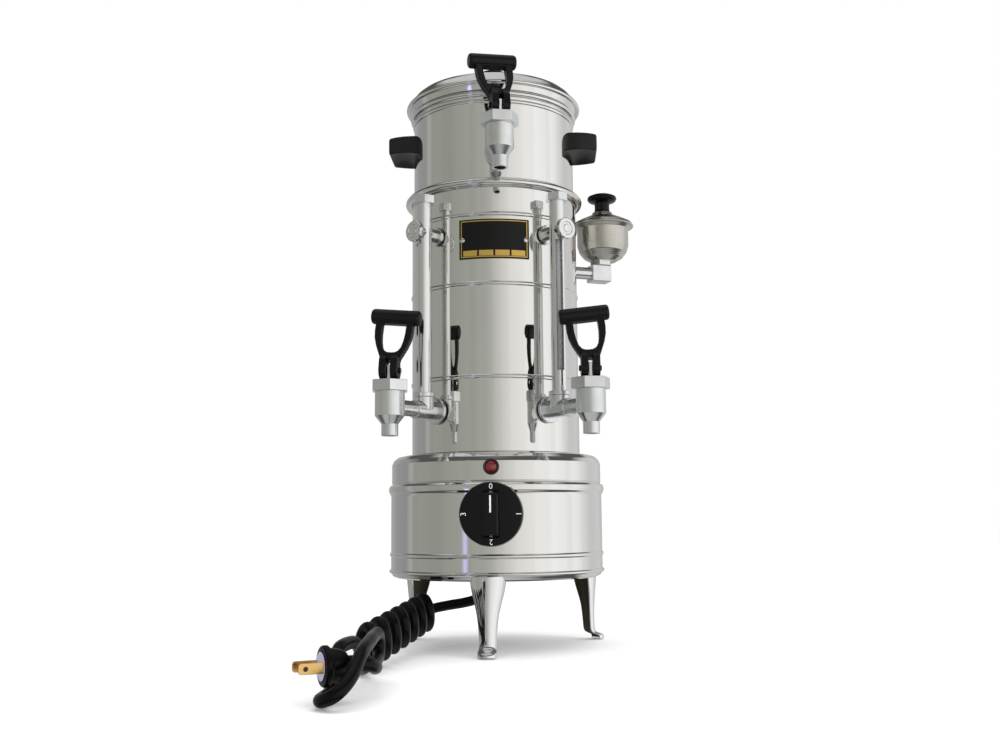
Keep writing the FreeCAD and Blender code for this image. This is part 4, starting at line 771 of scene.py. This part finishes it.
def tap_lever(lean, rock):
    """The black handle, modelled upright with its cross pin at the origin."""
    bow = bmesh.new()
    loops = []
    for half in (BOW_OUTER, BOW_INNER):
        outline = half + [(-x, z) for x, z in reversed(half)]
        points = [bow.verts.new((x, -BOW_THICK / 2, z)) for x, z in outline]
        loops += [bow.edges.new((points[i], points[(i + 1) % len(points)])) for i in range(len(points))]
    bmesh.ops.bridge_loops(bow, edges=loops)
    bow = eased(thickened(bow, (0, BOW_THICK, 0)), 1.7, 50.0, 4)
    bar = turned(eased(spun(BAR_OUTLINE, 48), 1.2, 20.0, 4), 90, "Y")
    top = turned(together(bow, moved(bar, 0, 0, BAR_HEIGHT)), rock, "Y", BOW_PIVOT)
    yoke = moved(slab(14.8, 11.2, 6.2, 1.2), 0, 0, 10.8)
    cheeks = []
    for side in (-1, 1):
        cheek = spun(CHEEK_OUTLINE, 40)
        turned(eased(cheek, 0.8), 90, "Y")
        bmesh.ops.scale(cheek, vec=(1, 0.78, 1), verts=[vert for vert in cheek.verts if vert.co.z > 0])
        lift = [vert for vert in cheek.verts if vert.co.z > 0.5]
        bmesh.ops.translate(cheek, vec=(0, 0, 5.5), verts=lift)
        cheeks.append(moved(cheek, side * 4.6, -1.2, 0))
    stub = turned(eased(spun(STUB_OUTLINE, 24), 0.2), 90, "Y")
    upper = turned(together(top, yoke), lean, "X")
    return together(upper, together(*cheeks), stub)


lever_black = black_moulding("lever_plastic", (0.002, 0.002, 0.0025), (0.005, 0.005, 0.006), 0.24,
                             rough=(0.26, 0.38), peel=(420.0, 3.0), haze=50.0, relief=(0.00005, 0.35))
TAP_ANGLE, GAUGE_REACH = 38.5, 88.0
BONNET_LOW, BONNET_HIGH, BONNET_ACROSS = 34.9, 43.7, 15.6
PIN_HEIGHT = 51.2
TONGUE_MIDDLE, STEM_RADIUS = 49.95, 1.6
TAPS = {  # reach and bearing of the barrel, spout height, wall, handle's turn, lean and rock, hexagon's turn
    "left": (126.0, -TAP_ANGLE, 170.2, 72.0, -7.5, 10.0, 5.5, 38.0),
    "right": (126.0, TAP_ANGLE, 170.2, 72.0, 2.5, 10.0, -6.5, 10.5),
    "front": (105.0, 5.2, 382.3, 70.4, 18.0, 18.0, -3.5, 11.5),
}
bonnets = {}
for label, (reach, azimuth, height, wall_radius, yaw, lean, rock, hex_turn) in TAPS.items():
    home = "vessel" if label == "front" else "urn"
    x, y = polar(reach, azimuth)
    casting = tap_casting(reach - wall_radius, None if label == "front" else reach - GAUGE_REACH)
    casting = moved(turned(casting, azimuth), x, y, height)
    piece(label + "_tap_casting", casting, home, satin, [label + "_tap_body"])
    bonnet = hexagon(BONNET_ACROSS, BONNET_LOW, BONNET_HIGH, hex_turn + 30)
    bonnets[label] = moved(bonnet, x, y, height)
    lever = moved(turned(tap_lever(-lean, rock), yaw), x, y, height + PIN_HEIGHT)
    piece(label + "_lever", lever, label + "_handle", lever_black, [label + "_tap_handle"])
    tongue = moved(slab(2.6, 8.6, 11.7, 0.3), 0, 0, TONGUE_MIDDLE)
    rod = post(STEM_RADIUS, 36.0, 45.0, 0.1, 24)
    stem = moved(turned(together(tongue, rod), yaw), x, y, height)
    piece(label + "_stem_tongue", stem, label + "_stem", satin, [label + "_tap_stem"])
lower_bonnets = together(bonnets["left"], bonnets["right"])
piece("lower_bonnets", lower_bonnets, "urn", satin, ["lower_tap_bonnets"])
piece("front_bonnet", bonnets["front"], "vessel", satin, ["front_tap_bonnet"])

# Sight gauges: a chromed guard tube with a long slot stands on each lower tap,
# round a glass tube, and is tied to the tank by an arm with a stepped end plug.
gauge_chrome = polished_steel("gauge_chrome", (0.80, 0.80, 0.80, 1), 0.09, 0.0002)
GUARD_INNER, GUARD_OUTER = 5.0, 6.3
GUARD_FOOT, SLOT_LOW, SLOT_HIGH, GUARD_TOP = 207, 223.5, 331, 364
WALL_SPAN, ARM_HEIGHT = 306, 339
PLUG_END_OUTLINE = [
    (0, 98), (0, 101), (3.2, 101), (3.4, 100.4), (5.2, 100.4), (5.5, 101), (8.2, 101), (8.8, 100.2),
    (8.8, 97.6), (8.0, 97), (5.6, 97), (5.6, 72.5), (0, 72.5),
]


def tube(inner, outer, low, high, steps):
    return spun([(inner, low), (inner, high), (outer, high), (outer, low), (inner, low)], steps)


guard_shapes, arm_shapes, cap_shapes, glass_shapes = [], [], [], []
for side, slot_turn in ((-1, -70.0), (1, 12.0)):
    azimuth = side * TAP_ANGLE
    x, y = polar(GAUGE_REACH, azimuth)
    guard_shapes.append(moved(tube(GUARD_INNER, GUARD_OUTER, SLOT_HIGH, GUARD_TOP, 48), x, y, 0))
    guard_shapes.append(moved(tube(GUARD_INNER, GUARD_OUTER, GUARD_FOOT, SLOT_LOW, 48), x, y, 0))
    wall = bmesh.new()
    section = [wall.verts.new((radius, 0, high)) for radius, high in
               ((GUARD_INNER, SLOT_LOW), (GUARD_OUTER, SLOT_LOW),
                (GUARD_OUTER, SLOT_HIGH), (GUARD_INNER, SLOT_HIGH))]
    strip = wall.faces.new(section)
    bmesh.ops.spin(wall, geom=[strip] + wall.edges[:] + wall.verts[:], cent=(0, 0, 0),
                   axis=(0, 0, 1), angle=math.radians(WALL_SPAN), steps=44)
    bmesh.ops.recalc_face_normals(wall, faces=wall.faces)
    guard_shapes.append(moved(turned(wall, slot_turn - 90 + (360 - WALL_SPAN) / 2), x, y, 0))
    end = front_facing(eased(spun(PLUG_END_OUTLINE, 64), 0.25, 20.0))
    arm_shapes.append(turned(moved(end, 0, 0, ARM_HEIGHT), azimuth))
    collar = front_facing(eased(spun([(5.6, 73.2), (8.0, 73.2), (8.0, 76.2), (5.6, 76.2)], 48), 0.3))
    arm_shapes.append(turned(moved(collar, 0, 0, ARM_HEIGHT), azimuth))
    cap_shapes.append(moved(hexagon(9.2, GUARD_TOP, 370.6, 10), x, y, 0))
    cap_shapes.append(moved(post(5.9, 361.5, 364.2, 0.2), x, y, 0))
    glass_shapes.append(moved(tube(3, 4, 200, 360, 40), x, y, 0))
piece("gauge_guard_tubes", together(*guard_shapes), "urn", gauge_chrome, ["gauge_guards"])
piece("gauge_tie_arms", together(*arm_shapes), "urn", gauge_chrome, ["gauge_arms"])
piece("gauge_hex_caps", together(*cap_shapes), "urn", satin, ["gauge_caps"])
glass, coat = material("gauge_glass")
film = coat.noise(90.0, 4.0, (1, 1, 0.3))
# The glass is a half-opaque grey: painted shade that darkens the slot of each guard tube.
glass = coated(glass, coat, base_color=(0.42, 0.43, 0.43, 1), alpha=0.5, coat_weight=0.6,
               roughness=film.spread(0.3, 0.7, 0.03, 0.10))
piece("gauge_glass_tubes", together(*glass_shapes), "urn", glass, ["gauge_glasses"])

# The filler cup: a spun bowl on an elbow at the right, for topping up the tank.
# Its steel is only brushed, and a little yellowed by heat.
cup_steel, coat = material("cup_brushed")
rings = coat.noise(70.0, 4.0, (0.3, 0.3, 22.0))
heat = coat.noise(34.0, 5.0)
yellowed = coat.blend(heat, (0.70, 0.685, 0.64, 1), (0.40, 0.375, 0.33, 1))
cup_steel = coated(cup_steel, coat, base_color=yellowed, metallic=1.0,
                   roughness=rings.spread(0.3, 0.7, 0.16, 0.28),
                   normal=coat.relief(rings + heat * 3.0, 0.00016, 0.5))
CUP_REACH, CUP_ANGLE, FEED_HEIGHT = 106.0, 112.5, 326
cup_x, cup_y = polar(CUP_REACH, CUP_ANGLE)
BOWL_OUTLINE = [
    (0, 338), (12, 338), (17.5, 341.2), (21.6, 346.4), (23.4, 352.5), (23.4, 367.2), (27.0, 369.8),
    (27.0, 370.8), (22.6, 368.4), (22.6, 352.7), (20.9, 347), (17.1, 342.2), (11.8, 339), (0, 339),
]
COVER_OUTLINE = [
    (0, 383.6), (9.2, 383.6), (9.6, 381.6), (13.2, 379.8), (20, 376.8), (26.8, 373.2), (27.5, 371.9),
    (21.8, 371.9), (21.8, 368.8), (21, 368.8), (21, 372.8), (0, 372.8),
]
bowl = together(eased(spun(BOWL_OUTLINE, 96), 0.9, 8.0, 4), rolled(27.0, 370.6, 1.2, 96, 14))
piece("cup_spun_bowl", moved(bowl, cup_x, cup_y, 0), "urn", cup_steel, ["cup_bowl"])
cup_cover = moved(eased(spun(COVER_OUTLINE, 96), 0.35, 15.0), cup_x, cup_y, 0)
piece("cup_cover", cup_cover, "cup_cap", cup_steel, ["cup_lid"])
elbow = [moved(slab(14.6, 18.6, 15, 0.9), 0, -101.6, FEED_HEIGHT),
         moved(hexagon(10.2, 0, 5.0, 0), 0, -103.6, 333.4),
         moved(post(8.6, 0, 2.4, 0.3), 0, -104.6, 337.2)]
piece("cup_elbow_casting", turned(together(*elbow), CUP_ANGLE), "urn", satin, ["cup_elbow"])
pipe = moved(front_facing(post(5.5, 68, 98.5, 0.3)), 0, 0, FEED_HEIGHT)
piece("cup_feed_pipe", turned(pipe, CUP_ANGLE), "urn", satin, ["cup_pipe"])


# Knobs of the cup and of the lid: the same black moulding, a neck and a disc.
KNOB_OUTLINE = [  # radius, and height over the knob's foot
    (0, 0), (7.6, 0), (7.0, 1.4), (6.7, 5), (6.9, 9.2), (12.0, 10.8), (13.5, 12.8), (13.0, 15.0),
    (9.0, 16.8), (0, 17.4),
]
COVER_TOP, LID_TOP = 383.6, 487.0


def knob_moulding(low):
    return eased(spun([(radius, low + height) for radius, height in KNOB_OUTLINE], 72), 0.6, 12.0, 4)


cup_knob = moved(knob_moulding(COVER_TOP), cup_x, cup_y, 0)
piece("cup_knob_moulding", cup_knob, "cup_cap", bakelite, ["cup_knob"])
piece("lid_knob_moulding", knob_moulding(LID_TOP), "lid_part", bakelite, ["lid_knob"])

# The brewing vessel: a shorter buffed pot with a rolled lip, which stands on the
# tank's lip and has a broad black grip on each side.
vessel_steel = polished_steel("vessel_sheet", rough=0.02, wave=0.0006)
POT_INNER, POT_OUTER, POT_RIM = 69.6, 70.4, 457.8
POT_OUTLINE = [  # the floor, the skirt inside the tank, the flange and the wall
    (0, 386), (POT_INNER, 386), (POT_INNER, 371), (POT_OUTER, 371), (POT_OUTER, 383.6),
    (75.4, 383.6), (75.4, 384.4), (POT_OUTER, 384.4), (POT_OUTER, POT_RIM), (POT_INNER, POT_RIM),
    (POT_INNER, 386.8), (0, 386.8),
]
pot = together(eased(spun(POT_OUTLINE, 192), 0.2), rolled(70.7, POT_RIM, 2.7, 192, 24),
               rolled(69.2, 451.2, 2.3, 192))
piece("brewing_pot", pot, "vessel", vessel_steel, ["vessel_shell"])
grip_black = black_moulding("grip_plastic", (0.003, 0.0035, 0.0035), (0.009, 0.010, 0.0095), 0.3,
                            rough=(0.34, 0.48), peel=(300.0, 4.0), haze=40.0, relief=(0.00008, 0.4))
SIDE_GRIP = (31.0, 48.0, 16.0)
SIDE_GRIP_REACH, SIDE_GRIP_HEIGHT = 76.0, 431.5
for label, side in (("left", -1), ("right", 1)):
    grip = bmesh.new()
    bmesh.ops.create_cube(grip, size=1.0)
    bmesh.ops.scale(grip, vec=SIDE_GRIP, verts=grip.verts)
    bmesh.ops.subdivide_edges(grip, edges=grip.edges[:], cuts=3, use_grid_fill=True)
    far = [vert for vert in grip.verts if vert.co.x > 14]
    bmesh.ops.scale(grip, vec=(1, 0.80, 0.94), verts=far)
    mid = [vert for vert in grip.verts if 6 < vert.co.x < 9]
    bmesh.ops.scale(grip, vec=(1, 0.92, 1.0), verts=mid)
    under = [vert for vert in grip.verts if vert.co.z < -7 and -1 < vert.co.x < 9 and abs(vert.co.y) < 20]
    bmesh.ops.translate(grip, vec=(0, 0, 4.0), verts=under)
    eased(grip, 2.2, 50.0, 3)
    moved(grip, SIDE_GRIP_REACH, 0, SIDE_GRIP_HEIGHT)
    if side < 0:
        turned(grip, 180)
    made = piece(label + "_side_grip", grip, "vessel", grip_black, [label + "_vessel_grip"],
                 60.0)
    made.modifiers.clear()
    smooth = made.modifiers.new("smooth", "SUBSURF")
    smooth.levels = smooth.render_levels = 2

# The lid: a shallow spun dome with a stepped shoulder and a rolled edge.
lid_steel = polished_steel("lid_sheet", rough=0.04, wave=0.0003)
DOME_OUTLINE = [  # over the top to the rim, down the plug ring, and back under
    (0, 487), (30, 485.7), (50, 482.9), (62, 479.7), (67.4, 477.4), (71, 474.3), (73.4, 470.4),
    (74.6, 467), (74.6, 466), (72, 460.6), (67.6, 460.6), (67.6, 452.5), (66.8, 452.5), (66.8, 461.4),
    (71.4, 461.4), (73.6, 466.4), (72.4, 470), (70.2, 473.6), (66.8, 476.4), (61.8, 478.8),
    (49.8, 482), (30, 484.8), (0, 486.2),
]
dome = together(eased(spun(DOME_OUTLINE, 192), 1.1, 7.0, 3), rolled(75.2, 466.5, 2.0, 192, 20))
piece("domed_lid", dome, "lid_part", lid_steel, ["lid"])

# The sheet floor, screws, nuts and gaskets and everything behind the walls keep
# their solids from the frame, and get the finish of what they are made of.
plain_steel = satin_metal("plain_steel", (0.55, 0.55, 0.53, 1), 0.34)
spring_wire = satin_metal("spring_wire", (0.60, 0.60, 0.60, 1), 0.22, 800.0)
sheath, coat = material("heater_sheath")
scale = coat.noise(240.0, 6.0)
sheath = coated(sheath, coat, base_color=coat.blend(scale, (0.06, 0.05, 0.045, 1), (0.22, 0.17, 0.13, 1)),
                metallic=0.7, roughness=scale.spread(0.3, 0.7, 0.4, 0.7),
                normal=coat.relief(scale, 0.0002, 0.5))
silicone, coat = material("seat_silicone")
cloudy = coat.noise(120.0, 4.0)
milky = coat.blend(cloudy, (0.70, 0.68, 0.63, 1), (0.58, 0.56, 0.50, 1))
silicone = coated(silicone, coat, base_color=milky, roughness=0.5)
matt_black, coat = material("matt_moulding")
tooth = coat.noise(350.0, 4.0)
matt_black = coated(matt_black, coat, base_color=(0.012, 0.012, 0.012, 1),
                    roughness=tooth.spread(0.3, 0.7, 0.45, 0.6), normal=coat.relief(tooth, 0.00006, 0.4))
kept = {
    plain_steel: ["base_floor", "inner_pot", "switch_shaft", "heater_clamp"],
    satin: ["base_screws", "tank_nuts", "front_tap_nut", "left_tap_pin", "right_tap_pin", "front_tap_pin"],
    spring_wire: ["left_tap_spring", "right_tap_spring", "front_tap_spring"],
    sheath: ["heating_element"],
    silicone: ["left_tap_seat", "right_tap_seat", "front_tap_seat"],
    matt_black: ["switch_body", "cord_gland"],
    rubber: ["tank_gaskets"],
}
for finish, nodes in kept.items():
    for name in nodes:
        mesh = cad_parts[name].data
        mesh.materials.clear()
        mesh.materials.append(finish)

# The tap springs: each gets a mesh of its own; the stem lift, anchor and squeeze passed along are not used.
STEM_LIFT = 0.0031
for label in TAPS:
    spring_low, spring_high = (Vector(corner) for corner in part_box(label + "_tap_spring"))
    middle = (spring_low + spring_high) / 2
    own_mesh(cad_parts[label + "_tap_spring"], label + "_stem_lift", axis=(0, 0, 1),
              anchor=(middle.x, middle.y, spring_high.z),
              keep=1.0 - STEM_LIFT / (spring_high.z - spring_low.z))
